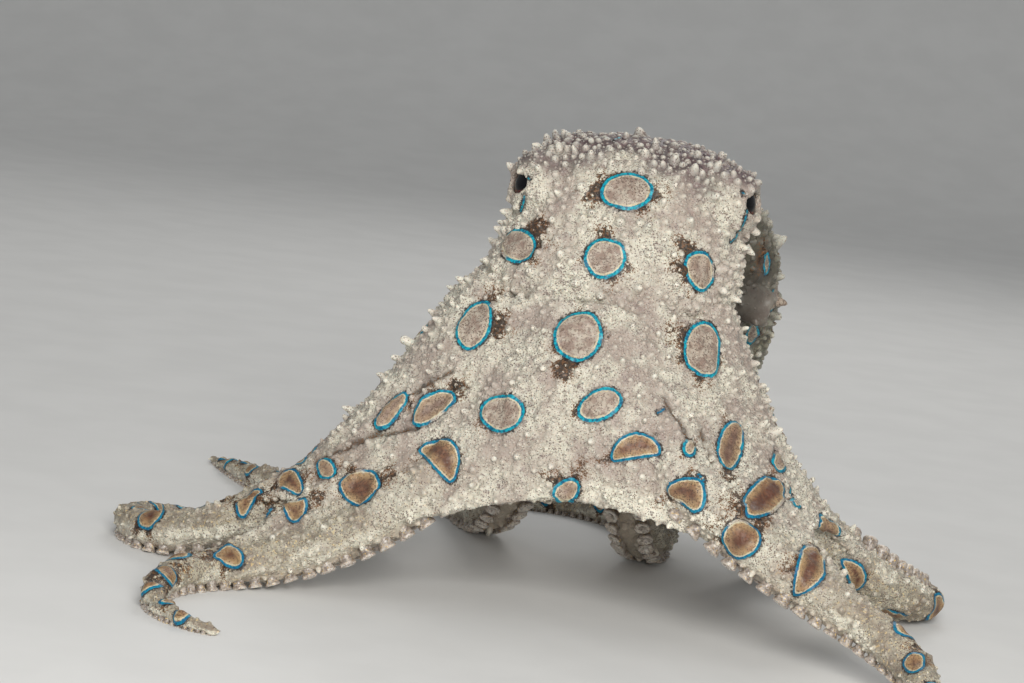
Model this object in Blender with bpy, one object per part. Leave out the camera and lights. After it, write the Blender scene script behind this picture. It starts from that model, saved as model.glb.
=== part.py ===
"""A blue ringed octopus, life size, raised on its spread arms with the mantle hung back behind the head.

+X is the right of the animal as it is seen from the front, +Y runs from the front to the back, and the
floor is at zero height. Sizes are in millimetres and are made metres where a mesh is built.
"""

import math

import bmesh
import bpy
import numpy as np
from mathutils import Matrix, Vector

MM = 0.001
GAP = 0.3  # between nodes that touch in life
SLIVER = 0.00002  # in metres: corners closer than this after a cut are one corner

# Head: height of each section, its half width, its half depth, and its middle in X and Y
HEAD_SECTIONS = (
    (25.5, 3.0, 2.5, -1.5, 2.5),
    (26.6, 6.2, 4.8, -1.6, 2.5),
    (28.6, 10.2, 7.6, -1.8, 2.5),
    (31.0, 12.3, 9.0, -1.6, 2.7),
    (34.0, 12.2, 9.3, -0.9, 3.4),
    (37.0, 11.5, 9.0, -0.3, 4.4),
    (40.0, 11.0, 8.7, 0.1, 5.4),
    (42.5, 10.8, 8.0, 0.1, 6.2),
    (44.4, 9.4, 6.6, 0.1, 6.9),
    (45.7, 6.8, 4.4, 0.0, 7.3),
    (46.2, 3.4, 2.2, 0.0, 7.5),
)
HEAD_SIDES = 20

# Mouth, under the head and inside the ring of arms
LIP_RADIUS = 1.7
LIP_THICKNESS = 0.55
MOUTH_RADIUS = 1.1
MOUTH_DEPTH = 1.6

# Eyes: each looks out to its side and a little forward and up
EYE_RADIUS = 3.0
EYE_LEFT = (-8.9, 3.6, 40.4)
EYE_RIGHT = (9.0, 3.6, 41.1)
EYE_FORWARD = math.radians(24)
EYE_UP = math.radians(8)
LID_THICKNESS = 0.75
LID_HALF_WIDTH = 2.1
LID_HALF_HEIGHT = 1.45

# Mantle: a sac that droops back and to the right from the neck
MANTLE_NECK = (-0.5, 8.0, 38.6)
MANTLE_BEND = (5.5, 21.0, 37.4)
MANTLE_TIP = (11.7, 37.5, 15.0)
MANTLE_HALF_WIDTH = 12.0
MANTLE_HALF_DEPTH = 8.4
MANTLE_NECK_WIDTH = 0.62
MANTLE_NECK_DEPTH = 0.45
MANTLE_SIDES = 20
MANTLE_STEPS = 12

# Funnel, out of the mantle's opening on the right of the neck
FUNNEL_ROOT = (5.5, 13.2, 33.0)
FUNNEL_END = (15.6, 13.8, 29.8)
FUNNEL_ROOT_RADIUS = 3.5
FUNNEL_END_RADIUS = 1.8
FUNNEL_BORE = 1.15
FUNNEL_BORE_DEPTH = 3.5

# Arms: they start on an ellipse inside the head's lower end
CROWN_MIDDLE = (-2.0, 2.5)
CROWN_HALF_WIDTH = 11.0
CROWN_HALF_DEPTH = 6.5
CROWN_HEIGHT = 30.5
ARM_LENGTH = 68.0
ARM_RADIUS = 3.05
ARM_TIP_RADIUS = 0.32
ARM_DEPTH_SHARE = 0.9
ARM_TAPER_POWER = 2.1
ARM_STEPS = 136
ARM_CUTS = (27.0, 48.0)
ARM_SIDES = 8

# For each arm, in degrees: place on the crown, first bearing, how far it sweeps by mid length, how far
# the end curls, how steeply it leaves the head, and in mm the length at which it lies on the floor
ARMS = {
    "arm_right_1": {"crown": -67, "bearing": -95, "sweep": 82, "curl": -190, "steep": 60, "landing": 64},
    "arm_right_2": {"crown": -25, "bearing": -34, "sweep": 62, "curl": 205, "steep": 66, "landing": 48},
    "arm_right_3": {"crown": 27, "bearing": 46, "sweep": 10, "curl": 150, "steep": 62, "landing": 42},
    "arm_right_4": {"crown": 65, "bearing": 71, "sweep": 4, "curl": 140, "steep": 76, "landing": 36},
    "arm_left_4": {"crown": 112, "bearing": 104, "sweep": 2, "curl": 40, "steep": 68, "landing": 39},
    "arm_left_3": {"crown": 153, "bearing": 138, "sweep": -8, "curl": -18, "steep": 60, "landing": 42},
    "arm_left_2": {"crown": 205, "bearing": 190, "sweep": -6, "curl": -215, "steep": 55, "landing": 46},
    "arm_left_1": {"crown": 247, "bearing": 228, "sweep": -45, "curl": 165, "steep": 63, "landing": 45},
}
SWEEP_LENGTH = 26.0
CURL_START = 34.0
CURL_POWER = 1.35

# The second right arm is turned over, so that its suckers stand up along its edge
TURNED_ARM = "arm_right_2"
TURN_ANGLE = math.radians(140)
TURN_FROM = 20.0
TURN_TO = 33.0

# Suckers, in two rows under each arm
SUCKER_FIRST = 8.0
SUCKER_SPACING = 1.24
SUCKER_LEAST_SPACING = 0.66
SUCKER_RADIUS_SHARE = 0.31
SUCKER_LEAST_RADIUS = 0.15
SUCKER_HEIGHT_SHARE = 0.9
SUCKER_TURNED_SHARE = 1.6
SUCKER_ANGLE = math.radians(33)
SUCKER_SIDES = 5
FLOOR_SINK = 0.12

# Web between neighbouring arms: how far down it reaches, its thickness, and how far it bellies out
WEB_TOP = 2.0
WEB_THICKNESS = 1.3
WEB_LIFT = 0.68
WEB_ACROSS = 5
WEB_DOWN = 6
WEBS = (
    ("web_front", "arm_left_1", "arm_right_1", 37.0, 3.0),
    ("web_right_1_2", "arm_right_1", "arm_right_2", 34.0, 1.2),
    ("web_right_2_3", "arm_right_2", "arm_right_3", 23.0, 1.4),
    ("web_right_3_4", "arm_right_3", "arm_right_4", 25.0, 1.2),
    ("web_back", "arm_right_4", "arm_left_4", 26.0, 1.4),
    ("web_left_3_4", "arm_left_4", "arm_left_3", 25.0, 1.2),
    ("web_left_2_3", "arm_left_3", "arm_left_2", 25.0, 1.4),
    ("web_left_1_2", "arm_left_2", "arm_left_1", 37.0, 1.2),
)

# Papillae, the larger of the soft points that stand all over the skin
PAPILLA_RADIUS = 0.62
PAPILLA_HEIGHT = 1.05
PAPILLA_SINK = 0.7
PAPILLA_SIDES = 5
HEAD_PAPILLAE = 38
MANTLE_PAPILLAE = 38

COLOURS = {
    "skin": (0.62, 0.54, 0.48, 1.0),
    "web_skin": (0.52, 0.44, 0.38, 1.0),
    "mantle_skin": (0.50, 0.47, 0.40, 1.0),
    "funnel_skin": (0.42, 0.36, 0.36, 1.0),
    "eye": (0.05, 0.03, 0.03, 1.0),
}


def clear_scene():
    for obj in list(bpy.data.objects):
        bpy.data.objects.remove(obj, do_unlink=True)


def skin_material(name, roughness):
    material = bpy.data.materials.new(name)
    material.use_nodes = True
    shader = material.node_tree.nodes["Principled BSDF"]
    shader.inputs["Base Color"].default_value = COLOURS[name]
    shader.inputs["Roughness"].default_value = roughness
    shader.inputs["Metallic"].default_value = 0.0
    material.diffuse_color = COLOURS[name]
    return material


def object_from(bm, name, collection, material=None):
    """A mesh object from a bmesh in millimetres, with its faces turned outward."""
    bmesh.ops.recalc_face_normals(bm, faces=bm.faces)
    bmesh.ops.scale(bm, vec=(MM, MM, MM), verts=bm.verts)
    mesh = bpy.data.meshes.new(name)
    bm.to_mesh(mesh)
    bm.free()
    obj = bpy.data.objects.new(name, mesh)
    collection.objects.link(obj)
    if material:
        mesh.materials.append(material)
        mesh.shade_smooth()
    return obj


def lofted(rings, end_dip=0.0):
    """A closed tube through rings of points, with a flat cap at each end, or a dip in the last one."""
    bm = bmesh.new()
    rows = [[bm.verts.new(point) for point in ring] for ring in rings]
    count = len(rows[0])
    for lower, upper in zip(rows, rows[1:]):
        for i in range(count):
            j = (i + 1) % count
            bm.faces.new((lower[i], lower[j], upper[j], upper[i]))
    bm.faces.new(rows[0][::-1])
    if not end_dip:
        bm.faces.new(rows[-1])
        return bm
    last = np.array(rings[-1])
    inward = np.mean(rings[-2], axis=0) - last.mean(axis=0)
    middle = bm.verts.new(last.mean(axis=0) + end_dip * inward / np.linalg.norm(inward))
    for i in range(count):
        bm.faces.new((rows[-1][i], rows[-1][(i + 1) % count], middle))
    return bm


def unit(vector):
    vector = np.asarray(vector, float)
    return vector / np.linalg.norm(vector)


def largest_surface(mesh, merge):
    """Keeps the closed surface with the most volume, which drops loose scraps and sealed hollows."""
    bm = bmesh.new()
    bm.from_mesh(mesh)
    if merge:
        bmesh.ops.remove_doubles(bm, verts=bm.verts, dist=merge)
        bmesh.ops.dissolve_degenerate(bm, edges=bm.edges, dist=merge)
        bmesh.ops.triangulate(bm, faces=bm.faces)
    groups = []
    seen = set()
    for start in bm.verts:
        if start in seen:
            continue
        group = []
        stack = [start]
        seen.add(start)
        while stack:
            vert = stack.pop()
            group.append(vert)
            for edge in vert.link_edges:
                other = edge.other_vert(vert)
                if other not in seen:
                    seen.add(other)
                    stack.append(other)
        groups.append(group)

    def volume(group):
        faces = {face for vert in group for face in vert.link_faces}
        return abs(sum(face.calc_center_median().dot(face.normal) * face.calc_area() for face in faces))

    bm.normal_update()
    groups.sort(key=volume)
    bmesh.ops.delete(bm, geom=[vert for group in groups[:-1] for vert in group], context="VERTS")
    bm.to_mesh(mesh)
    bm.free()


def boolean(obj, pieces, operation, merge=0.0):
    """Joins or cuts an object with closed pieces in one step, then removes the pieces."""
    if not pieces:
        return
    holder = bpy.data.collections.new("pieces")
    bpy.context.scene.collection.children.link(holder)
    for piece in pieces:
        for used in list(piece.users_collection):
            used.objects.unlink(piece)
        holder.objects.link(piece)
    step = obj.modifiers.new("step", "BOOLEAN")
    step.operation = operation
    step.operand_type = "COLLECTION"
    step.collection = holder
    step.solver = "MANIFOLD"
    bpy.context.view_layer.update()
    graph = bpy.context.evaluated_depsgraph_get()
    result = bpy.data.meshes.new_from_object(obj.evaluated_get(graph))
    obj.modifiers.remove(step)
    old = obj.data
    obj.data = result
    bpy.data.meshes.remove(old)
    result.name = obj.name
    for piece in pieces:
        bpy.data.meshes.remove(piece.data)
    bpy.data.collections.remove(holder)
    largest_surface(result, merge)


def section(middle, across, up, half_width, half_up, half_down, sides):
    """A ring of points round a middle, flatter or deeper below than above."""
    ring = []
    for i in range(sides):
        turn = math.tau * (i + 0.5) / sides
        rise = math.sin(turn)
        reach = half_up if rise > 0 else half_down
        ring.append(middle + across * half_width * math.cos(turn) + up * reach * rise)
    return ring


def head_rings(more=0.0, sides=HEAD_SIDES):
    rings = []
    last = len(HEAD_SECTIONS) - 1
    for i, (height, half_width, half_depth, x, y) in enumerate(HEAD_SECTIONS):
        lift = -more if i == 0 else more if i == last else 0.0
        middle = np.array((x, y, height + lift))
        rings.append(
            section(middle, np.array((1.0, 0, 0)), np.array((0, 1.0, 0)), half_width + more, half_depth + more,
                    half_depth + more, sides)
        )
    return rings


def head_surface(height, bearing):
    """Point and outward direction on the head at a height and at a bearing round it."""
    table = np.array(HEAD_SECTIONS)
    half_width, half_depth, x, y = (np.interp(height, table[:, 0], table[:, k]) for k in (1, 2, 3, 4))
    above, below = (np.interp(height + d, table[:, 0], table[:, 1]) for d in (0.8, -0.8))
    slope = (below - above) / 1.6
    point = np.array((x + half_width * math.cos(bearing), y + half_depth * math.sin(bearing), height))
    out = np.array((math.cos(bearing) / half_width, math.sin(bearing) / half_depth, 0.0))
    return point, unit(unit(out) + np.array((0, 0, slope)))


def eye_direction(side):
    flat = math.cos(EYE_UP)
    return np.array((side * flat * math.cos(EYE_FORWARD), -flat * math.sin(EYE_FORWARD), math.sin(EYE_UP)))


def ball(middle, radius, name, collection, material=None):
    bm = bmesh.new()
    bmesh.ops.create_uvsphere(bm, u_segments=14, v_segments=9, radius=radius)
    bmesh.ops.translate(bm, vec=middle, verts=bm.verts)
    return object_from(bm, name, collection, material)


def rod(start, end, radii, name, collection, sides=16, squash=1.0, dip=0.0):
    """A round rod along a line, with its radius given at even steps, squashed in its own height."""
    start, end = np.array(start, float), np.array(end, float)
    along = unit(end - start)
    across = unit(np.cross(along, (0, 0, 1.0))) if abs(along[2]) < 0.99 else np.array((1.0, 0, 0))
    up = np.cross(across, along)
    rings = []
    for i, radius in enumerate(radii):
        middle = start + (end - start) * i / (len(radii) - 1)
        rings.append(section(middle, across, up, radius, radius * squash, radius * squash, sides))
    return object_from(lofted(rings, dip), name, collection)


def papilla(point, out, size, collection):
    """A soft point: a few-sided cone with a blunt end, its root sunk in the skin."""
    bm = bmesh.new()
    depth = size * (PAPILLA_HEIGHT + PAPILLA_SINK)
    bmesh.ops.create_cone(bm, cap_ends=True, segments=PAPILLA_SIDES, radius1=size * PAPILLA_RADIUS,
                          radius2=0.4 * size * PAPILLA_RADIUS, depth=depth)
    turn = Vector(out).to_track_quat("Z", "Y").to_matrix().to_4x4()
    place = Matrix.Translation(Vector(point + out * size * (PAPILLA_HEIGHT - PAPILLA_SINK) / 2))
    bmesh.ops.transform(bm, matrix=place @ turn, verts=bm.verts)
    return object_from(bm, "papilla", collection)


def build_head(collection, material):
    head = object_from(lofted(head_rings()), "head", collection, material)
    added = []
    cut = []
    for side, centre in ((-1, EYE_LEFT), (1, EYE_RIGHT)):
        look = eye_direction(side)
        added.append(ball(centre, EYE_RADIUS + LID_THICKNESS, "lid", collection))
        cut.append(ball(centre, EYE_RADIUS + GAP, "socket", collection))
        slit = rod(centre, centre + look * 6, (LID_HALF_WIDTH, LID_HALF_WIDTH), "slit", collection,
                   squash=LID_HALF_HEIGHT / LID_HALF_WIDTH)
        cut.append(slit)
    mouth = np.array((HEAD_SECTIONS[0][3], HEAD_SECTIONS[0][4], HEAD_SECTIONS[0][0]))
    lip = bmesh.new()
    bmesh.ops.create_cone(lip, cap_ends=True, segments=14, radius1=LIP_RADIUS + LIP_THICKNESS,
                          radius2=LIP_RADIUS - LIP_THICKNESS / 2, depth=2.4)
    bmesh.ops.rotate(lip, cent=(0, 0, 0), matrix=Matrix.Rotation(math.pi, 3, "X"), verts=lip.verts)
    bmesh.ops.translate(lip, vec=mouth + np.array((0, 0, 0.4)), verts=lip.verts)
    added.append(object_from(lip, "lip", collection))
    cut.append(rod(mouth - np.array((0, 0, 3.0)), mouth + np.array((0, 0, MOUTH_DEPTH)),
                   (MOUTH_RADIUS, MOUTH_RADIUS, 0.5), "mouth", collection, sides=10))
    draw = np.random.default_rng(11)
    for i in range(HEAD_PAPILLAE):
        share = (i + 0.5) / HEAD_PAPILLAE
        height = 31.5 + 13.4 * share
        bearing = i * math.pi * (3 - math.sqrt(5)) + draw.uniform(-0.2, 0.2)
        point, out = head_surface(height, bearing)
        near_eye = min(np.linalg.norm(point - np.array(eye)) for eye in (EYE_LEFT, EYE_RIGHT))
        behind = math.sin(bearing) > 0.2
        if near_eye > EYE_RADIUS + 1.9 and not behind:
            added.append(papilla(point, out, draw.uniform(0.75, 1.1), collection))
    for side, centre in ((-1, EYE_LEFT), (1, EYE_RIGHT)):
        brow = np.array(centre) + np.array((-side * 0.8, 0.4, EYE_RADIUS + LID_THICKNESS - 0.3))
        added.append(papilla(brow, unit((side * 0.35, -0.1, 1.0)), 1.25, collection))
    boolean(head, added, "UNION")
    boolean(head, cut, "DIFFERENCE")
    return head


def build_eyes(collection, material):
    for name, centre in (("eye_left", EYE_LEFT), ("eye_right", EYE_RIGHT)):
        ball(centre, EYE_RADIUS, name, collection, material)


def mantle_frame(s):
    """Middle, heading, cross and upward directions of the mantle, at a share of the way to its tip."""
    neck, bend, tip = (np.array(point) for point in (MANTLE_NECK, MANTLE_BEND, MANTLE_TIP))
    middle = neck * (1 - s) ** 2 + bend * 2 * s * (1 - s) + tip * s * s
    along = unit((bend - neck) * (1 - s) + (tip - bend) * s)
    across = unit(np.cross(along, (0, 0, 1.0)))
    return middle, along, across, np.cross(across, along)


def mantle_halves(s):
    """Half width and half depth of the mantle, at a share of the way to its tip."""
    swell = math.sin(math.pi / 2 * min(1.0, s / 0.42))
    taper = max(0.0, 1 - s**3) ** 0.62
    width = (MANTLE_NECK_WIDTH + (1 - MANTLE_NECK_WIDTH) * swell) * taper + 0.035
    depth = (MANTLE_NECK_DEPTH + (1 - MANTLE_NECK_DEPTH) * swell) * taper + 0.035
    return MANTLE_HALF_WIDTH * width, MANTLE_HALF_DEPTH * depth


def mantle_rings(more=0.0):
    rings = []
    for i in range(MANTLE_STEPS + 1):
        s = math.sin(math.pi / 2 * i / MANTLE_STEPS)
        half_width, half_depth = mantle_halves(s)
        middle, along, across, up = mantle_frame(s)
        middle = middle + along * (more if i == MANTLE_STEPS else 0.0)
        rings.append(section(middle, across, up, half_width + more, half_depth + more, half_depth + more,
                             MANTLE_SIDES))
    return rings


def build_mantle(collection, material):
    mantle = object_from(lofted(mantle_rings()), "mantle", collection, material)
    added = []
    draw = np.random.default_rng(23)
    for i in range(MANTLE_PAPILLAE):
        s = 0.3 + 0.66 * (i + 0.5) / MANTLE_PAPILLAE
        turn = i * math.pi * (3 - math.sqrt(5))
        half_width, half_depth = mantle_halves(s)
        middle, along, across, up = mantle_frame(s)
        flat = across * math.cos(turn) / half_width + up * math.sin(turn) / half_depth
        lean = (mantle_halves(s - 0.02)[1] - mantle_halves(s + 0.02)[1]) / (0.04 * 40)
        point = middle + across * half_width * math.cos(turn) + up * half_depth * math.sin(turn)
        if math.sin(turn) > -0.75:
            added.append(papilla(point, unit(unit(flat) + along * lean), draw.uniform(0.85, 1.35), collection))
    boolean(mantle, added, "UNION")
    cut = [object_from(lofted(head_rings(GAP)), "head_room", collection)]
    for centre in (EYE_LEFT, EYE_RIGHT):
        cut.append(ball(centre, EYE_RADIUS + LID_THICKNESS + GAP, "lid_room", collection))
    cut.append(funnel_body(GAP, "funnel_room", collection))
    boolean(mantle, cut, "DIFFERENCE")
    return mantle


def funnel_body(more, name, collection, material=None):
    root, end = np.array(FUNNEL_ROOT), np.array(FUNNEL_END)
    end = end + unit(end - root) * more
    steps = 6
    radii = [FUNNEL_ROOT_RADIUS + (FUNNEL_END_RADIUS - FUNNEL_ROOT_RADIUS) * (i / steps) ** 0.8 + more
             for i in range(steps + 1)]
    funnel = rod(root, end, radii, name, collection, sides=14)
    if material:
        funnel.data.materials.append(material)
        funnel.data.shade_smooth()
    return funnel


def build_funnel(collection, material):
    funnel = funnel_body(0.0, "funnel", collection, material)
    end, root = np.array(FUNNEL_END), np.array(FUNNEL_ROOT)
    along = unit(end - root)
    bore = rod(end - along * FUNNEL_BORE_DEPTH, end + along, (FUNNEL_BORE, FUNNEL_BORE), "bore", collection, sides=12)
    head_room = object_from(lofted(head_rings(GAP)), "head_room", collection)
    boolean(funnel, [bore, head_room], "DIFFERENCE")
    return funnel


def arm_width(s):
    """Half width of an arm at a length from its root."""
    t = np.clip(np.asarray(s, float) / ARM_LENGTH, 0, 1)
    return ARM_TIP_RADIUS + (ARM_RADIUS - ARM_TIP_RADIUS) * (1 - t**ARM_TAPER_POWER)


def sucker_height(s, name):
    share = SUCKER_TURNED_SHARE if name == TURNED_ARM else SUCKER_HEIGHT_SHARE
    return share * sucker_radius(s)


def sucker_radius(s):
    return SUCKER_LEAST_RADIUS + SUCKER_RADIUS_SHARE * arm_width(s)


def arm_route(name):
    """Lengths, middles, headings, upward sides and cross directions along an arm, and the side its webs lie on."""
    arm = ARMS[name]
    s = np.linspace(0, ARM_LENGTH, ARM_STEPS + 1)
    width = arm_width(s)
    if name == TURNED_ARM:
        rest = ARM_DEPTH_SHARE * width
    else:
        rest = ARM_DEPTH_SHARE * width * math.cos(SUCKER_ANGLE) + sucker_height(s, name) - FLOOR_SINK
    drop = CROWN_HEIGHT - rest[0]
    t = np.clip(s / arm["landing"], 0, 1)
    ease = 2 - math.sin(math.radians(arm["steep"])) * arm["landing"] / drop
    height = rest + drop * (1 - t) ** 2 * (1 + ease * t)
    fall = np.gradient(height, s)
    level = np.sqrt(np.clip(1 - fall**2, 0.02, 1))
    sweep = arm["sweep"] * np.clip(s / SWEEP_LENGTH, 0, 1)
    curl = arm["curl"] * np.clip((s - CURL_START) / (ARM_LENGTH - CURL_START), 0, 1) ** CURL_POWER
    bearing = np.radians(arm["bearing"] + sweep + curl)
    step = s[1] - s[0]
    ahead = np.stack([np.cos(bearing), np.sin(bearing), 0 * bearing], axis=1)
    moved = np.cumsum(ahead * (level * step)[:, None], axis=0) - ahead * (level * step)[:, None] / 2
    crown = math.radians(arm["crown"])
    start = np.array((CROWN_MIDDLE[0] + CROWN_HALF_WIDTH * math.cos(crown),
                      CROWN_MIDDLE[1] + CROWN_HALF_DEPTH * math.sin(crown), 0.0))
    middle = start + moved
    middle[:, 2] = height
    along = np.gradient(middle, axis=0)
    along /= np.linalg.norm(along, axis=1)[:, None]
    up = -along[:, 2:3] * ahead + np.sqrt(1 - along[:, 2:3] ** 2) * np.array((0, 0, 1.0))
    up -= along * (up * along).sum(axis=1)[:, None]
    up /= np.linalg.norm(up, axis=1)[:, None]
    across = np.cross(along, up)
    rib = up
    if name == TURNED_ARM:
        ease = np.clip((s - TURN_FROM) / (TURN_TO - TURN_FROM), 0, 1)
        angle = TURN_ANGLE * (ease * ease * (3 - 2 * ease))[:, None]
        up, across = up * np.cos(angle) + across * np.sin(angle), across * np.cos(angle) - up * np.sin(angle)
    return s, middle, along, up, across, rib


ROUTES = {name: arm_route(name) for name in ARMS}


def route_at(name, length):
    """Middle, heading, upward side, cross direction and web side of an arm at a length from its root."""
    s, *columns = ROUTES[name]
    found = [np.array([np.interp(length, s, column[:, k]) for k in range(3)]) for column in columns]
    return [found[0]] + [unit(side) for side in found[1:]]


def arm_rings(name, start, end, steps, more=0.0, sides=ARM_SIDES):
    rings = []
    for length in np.linspace(start, end, steps + 1):
        middle, _, up, across, _ = route_at(name, length)
        half = float(arm_width(length))
        rings.append(section(middle, across, up, half + more, half * ARM_DEPTH_SHARE + more,
                             half * ARM_DEPTH_SHARE + more, sides))
    return rings


def sucker(name, length, side, collection):
    """A short stalk that flares to a cupped disc, on the underside of an arm."""
    middle, along, up, across, _ = route_at(name, length)
    half = float(arm_width(length))
    radius = float(sucker_radius(length))
    height = float(sucker_height(length, name))
    root = (middle - up * half * ARM_DEPTH_SHARE * math.cos(SUCKER_ANGLE)
            + side * across * half * math.sin(SUCKER_ANGLE))
    levels = ((-0.55 * radius, 0.72), (0.3 * height, 0.62), (height, 1.0))
    rings = [section(root - up * rise, across, along, radius * share, radius * share, radius * share, SUCKER_SIDES)
             for rise, share in levels]
    return object_from(lofted(rings, 0.35 * radius), "sucker", collection)


def build_arm(name, collection, material):
    cuts = (0.0,) + ARM_CUTS + (ARM_LENGTH,)
    steps = (9, 6, 8)
    parts = []
    for i, (start, end) in enumerate(zip(cuts, cuts[1:])):
        first = start + (GAP / 2 if i else 0)
        last = end - (GAP / 2 if i < 2 else 0)
        rings = arm_rings(name, first, last, steps[i])
        parts.append(object_from(lofted(rings), f"{name}_{'abc'[i]}", collection, material))
    added = [[], [], []]
    length = SUCKER_FIRST
    side = 1
    while length < ARM_LENGTH - 1.2:
        radius = float(sucker_radius(length))
        place = sum(length > cut for cut in ARM_CUTS)
        clear = min(abs(length - cut) for cut in ARM_CUTS) - radius - GAP
        shifted = length if clear > 0 else length + radius + GAP
        place = sum(shifted > cut for cut in ARM_CUTS)
        if min(abs(shifted - cut) for cut in ARM_CUTS) > radius + GAP / 2:
            added[place].append(sucker(name, shifted, side, collection))
        side = -side
        length += SUCKER_SPACING * float(arm_width(length)) + SUCKER_LEAST_SPACING
    for part, pieces in zip(parts, added):
        boolean(part, pieces, "UNION")
    head_room = object_from(lofted(head_rings(GAP)), "head_room", collection)
    mantle_room = object_from(lofted(mantle_rings(GAP)), "mantle_room", collection)
    boolean(parts[0], [head_room, mantle_room], "DIFFERENCE")
    for part in parts:
        lowest = min(vert.co.z for vert in part.data.vertices)
        if lowest < 0:
            bm = bmesh.new()
            bmesh.ops.create_cube(bm, size=1.0)
            bmesh.ops.scale(bm, vec=(300, 300, 20), verts=bm.verts)
            bmesh.ops.translate(bm, vec=(0, 0, -10), verts=bm.verts)
            boolean(part, [object_from(bm, "floor", collection)], "DIFFERENCE")
    return parts


def web_bulge(across, down, belly):
    return belly * 4 * across * (1 - across) * math.sin(math.pi / 2 * min(1.0, 0.35 + down))


def build_web(name, first, second, reach, belly, collection, material):
    """A sheet from one arm to the next, its hem curved up between them, cut clear of arms and head."""
    faces = {1: [], -1: []}
    for i in range(WEB_ACROSS + 1):
        across = i / WEB_ACROSS
        hem = reach * (1.12 - 0.3 * math.sin(math.pi * across))
        for j in range(WEB_DOWN + 1):
            down = j / WEB_DOWN
            length = WEB_TOP + (hem - WEB_TOP) * down
            a, *_, up_a = route_at(first, length)
            b, *_, up_b = route_at(second, length)
            lift = WEB_LIFT * float(arm_width(length))
            out = unit(up_a * (1 - across) + up_b * across)
            middle = (a + up_a * lift) * (1 - across) + (b + up_b * lift) * across
            middle = middle + out * web_bulge(across, down, belly)
            half = WEB_THICKNESS / 2 * (1 - 0.35 * down)
            for face in faces:
                faces[face].append(middle + out * half * face)
    bm = bmesh.new()
    top = [bm.verts.new(point) for point in faces[1]]
    under = [bm.verts.new(point) for point in faces[-1]]
    rows = WEB_DOWN + 1
    for i in range(WEB_ACROSS):
        for j in range(WEB_DOWN):
            square = (i * rows + j, (i + 1) * rows + j, (i + 1) * rows + j + 1, i * rows + j + 1)
            for sheet in (top, under):
                bm.faces.new([sheet[k] for k in square[:3]])
                bm.faces.new([sheet[k] for k in (square[0], square[2], square[3])])
    edge = [i * rows for i in range(WEB_ACROSS)]
    edge += [WEB_ACROSS * rows + j for j in range(WEB_DOWN)]
    edge += [i * rows + WEB_DOWN for i in range(WEB_ACROSS, 0, -1)]
    edge += [j for j in range(WEB_DOWN, 0, -1)]
    for k, l in zip(edge, edge[1:] + edge[:1]):
        bm.faces.new((top[k], top[l], under[l], under[k]))
    web = object_from(bm, name, collection, material)
    cut = [object_from(lofted(head_rings(GAP)), "head_room", collection)]
    for arm in (first, second):
        cut.append(object_from(lofted(arm_rings(arm, 0.0, 44.0, 18, GAP)), "arm_room", collection))
    boolean(web, cut, "DIFFERENCE", SLIVER)
    return web


def centre_on_floor(objects):
    """Moves the whole animal so that the middle of its footprint is the origin."""
    corners = np.array([vert.co for obj in objects for vert in obj.data.vertices])
    middle = (corners.min(axis=0) + corners.max(axis=0)) / 2
    shift = Matrix.Translation(Vector((-middle[0], -middle[1], 0)))
    for obj in objects:
        obj.data.transform(shift)


def build():
    clear_scene()
    octopus = bpy.data.collections.new("blue_ringed_octopus")
    bpy.context.scene.collection.children.link(octopus)
    skin = skin_material("skin", 0.45)
    web_skin = skin_material("web_skin", 0.45)
    mantle_skin = skin_material("mantle_skin", 0.5)
    funnel_skin = skin_material("funnel_skin", 0.4)
    eye = skin_material("eye", 0.15)
    build_head(octopus, skin)
    build_eyes(octopus, eye)
    build_mantle(octopus, mantle_skin)
    build_funnel(octopus, funnel_skin)
    for name in ARMS:
        build_arm(name, octopus, skin)
    for web in WEBS:
        build_web(*web, octopus, web_skin)
    centre_on_floor(list(octopus.objects))


build()
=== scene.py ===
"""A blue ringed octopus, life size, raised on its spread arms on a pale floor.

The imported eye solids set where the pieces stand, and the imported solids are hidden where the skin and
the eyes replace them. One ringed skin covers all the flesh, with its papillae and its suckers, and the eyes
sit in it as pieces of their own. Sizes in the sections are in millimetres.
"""

import math

import bmesh
import bpy
import numpy as np
from mathutils import Matrix, Vector
from mathutils.bvhtree import BVHTree
from mathutils.kdtree import KDTree


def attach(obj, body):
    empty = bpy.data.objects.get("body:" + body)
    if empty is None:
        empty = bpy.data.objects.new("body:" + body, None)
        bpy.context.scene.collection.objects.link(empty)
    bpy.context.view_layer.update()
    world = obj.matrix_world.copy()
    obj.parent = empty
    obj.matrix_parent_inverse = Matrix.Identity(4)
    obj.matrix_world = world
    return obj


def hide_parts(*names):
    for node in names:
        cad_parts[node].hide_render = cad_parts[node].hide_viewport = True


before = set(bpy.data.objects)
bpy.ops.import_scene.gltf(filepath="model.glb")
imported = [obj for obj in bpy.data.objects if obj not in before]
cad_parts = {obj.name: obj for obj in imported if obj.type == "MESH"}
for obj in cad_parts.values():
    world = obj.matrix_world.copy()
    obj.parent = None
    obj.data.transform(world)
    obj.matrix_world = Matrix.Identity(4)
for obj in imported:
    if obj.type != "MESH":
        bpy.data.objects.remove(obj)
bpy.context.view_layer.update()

# The eyes
# Each real eye is a wet ball with a dark slit, of clear cornea over a red brown iris. It is held in the
# head by the ring of skin round it, and only a narrow part of it shows between the lids.

MM = 0.001
EYE_RADIUS = 3.0
EYE_PLACES = {"eye_left": (-8.9, 3.6, 40.4), "eye_right": (9.0, 3.6, 41.1)}
EYE_SIDES = {"eye_left": -1, "eye_right": 1}
EYE_FORWARD = math.radians(24)
EYE_UP = math.radians(8)
PUPIL_HALVES = (1.55, 0.85)


def unit(vector):
    vector = np.asarray(vector, float)
    return vector / np.linalg.norm(vector)


def units(rows):
    return rows / np.linalg.norm(rows, axis=-1, keepdims=True)


def node_middle(name):
    """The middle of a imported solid's corners, in millimetres."""
    return np.mean([corner.co[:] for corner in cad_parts[name].data.vertices], axis=0) / MM


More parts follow.
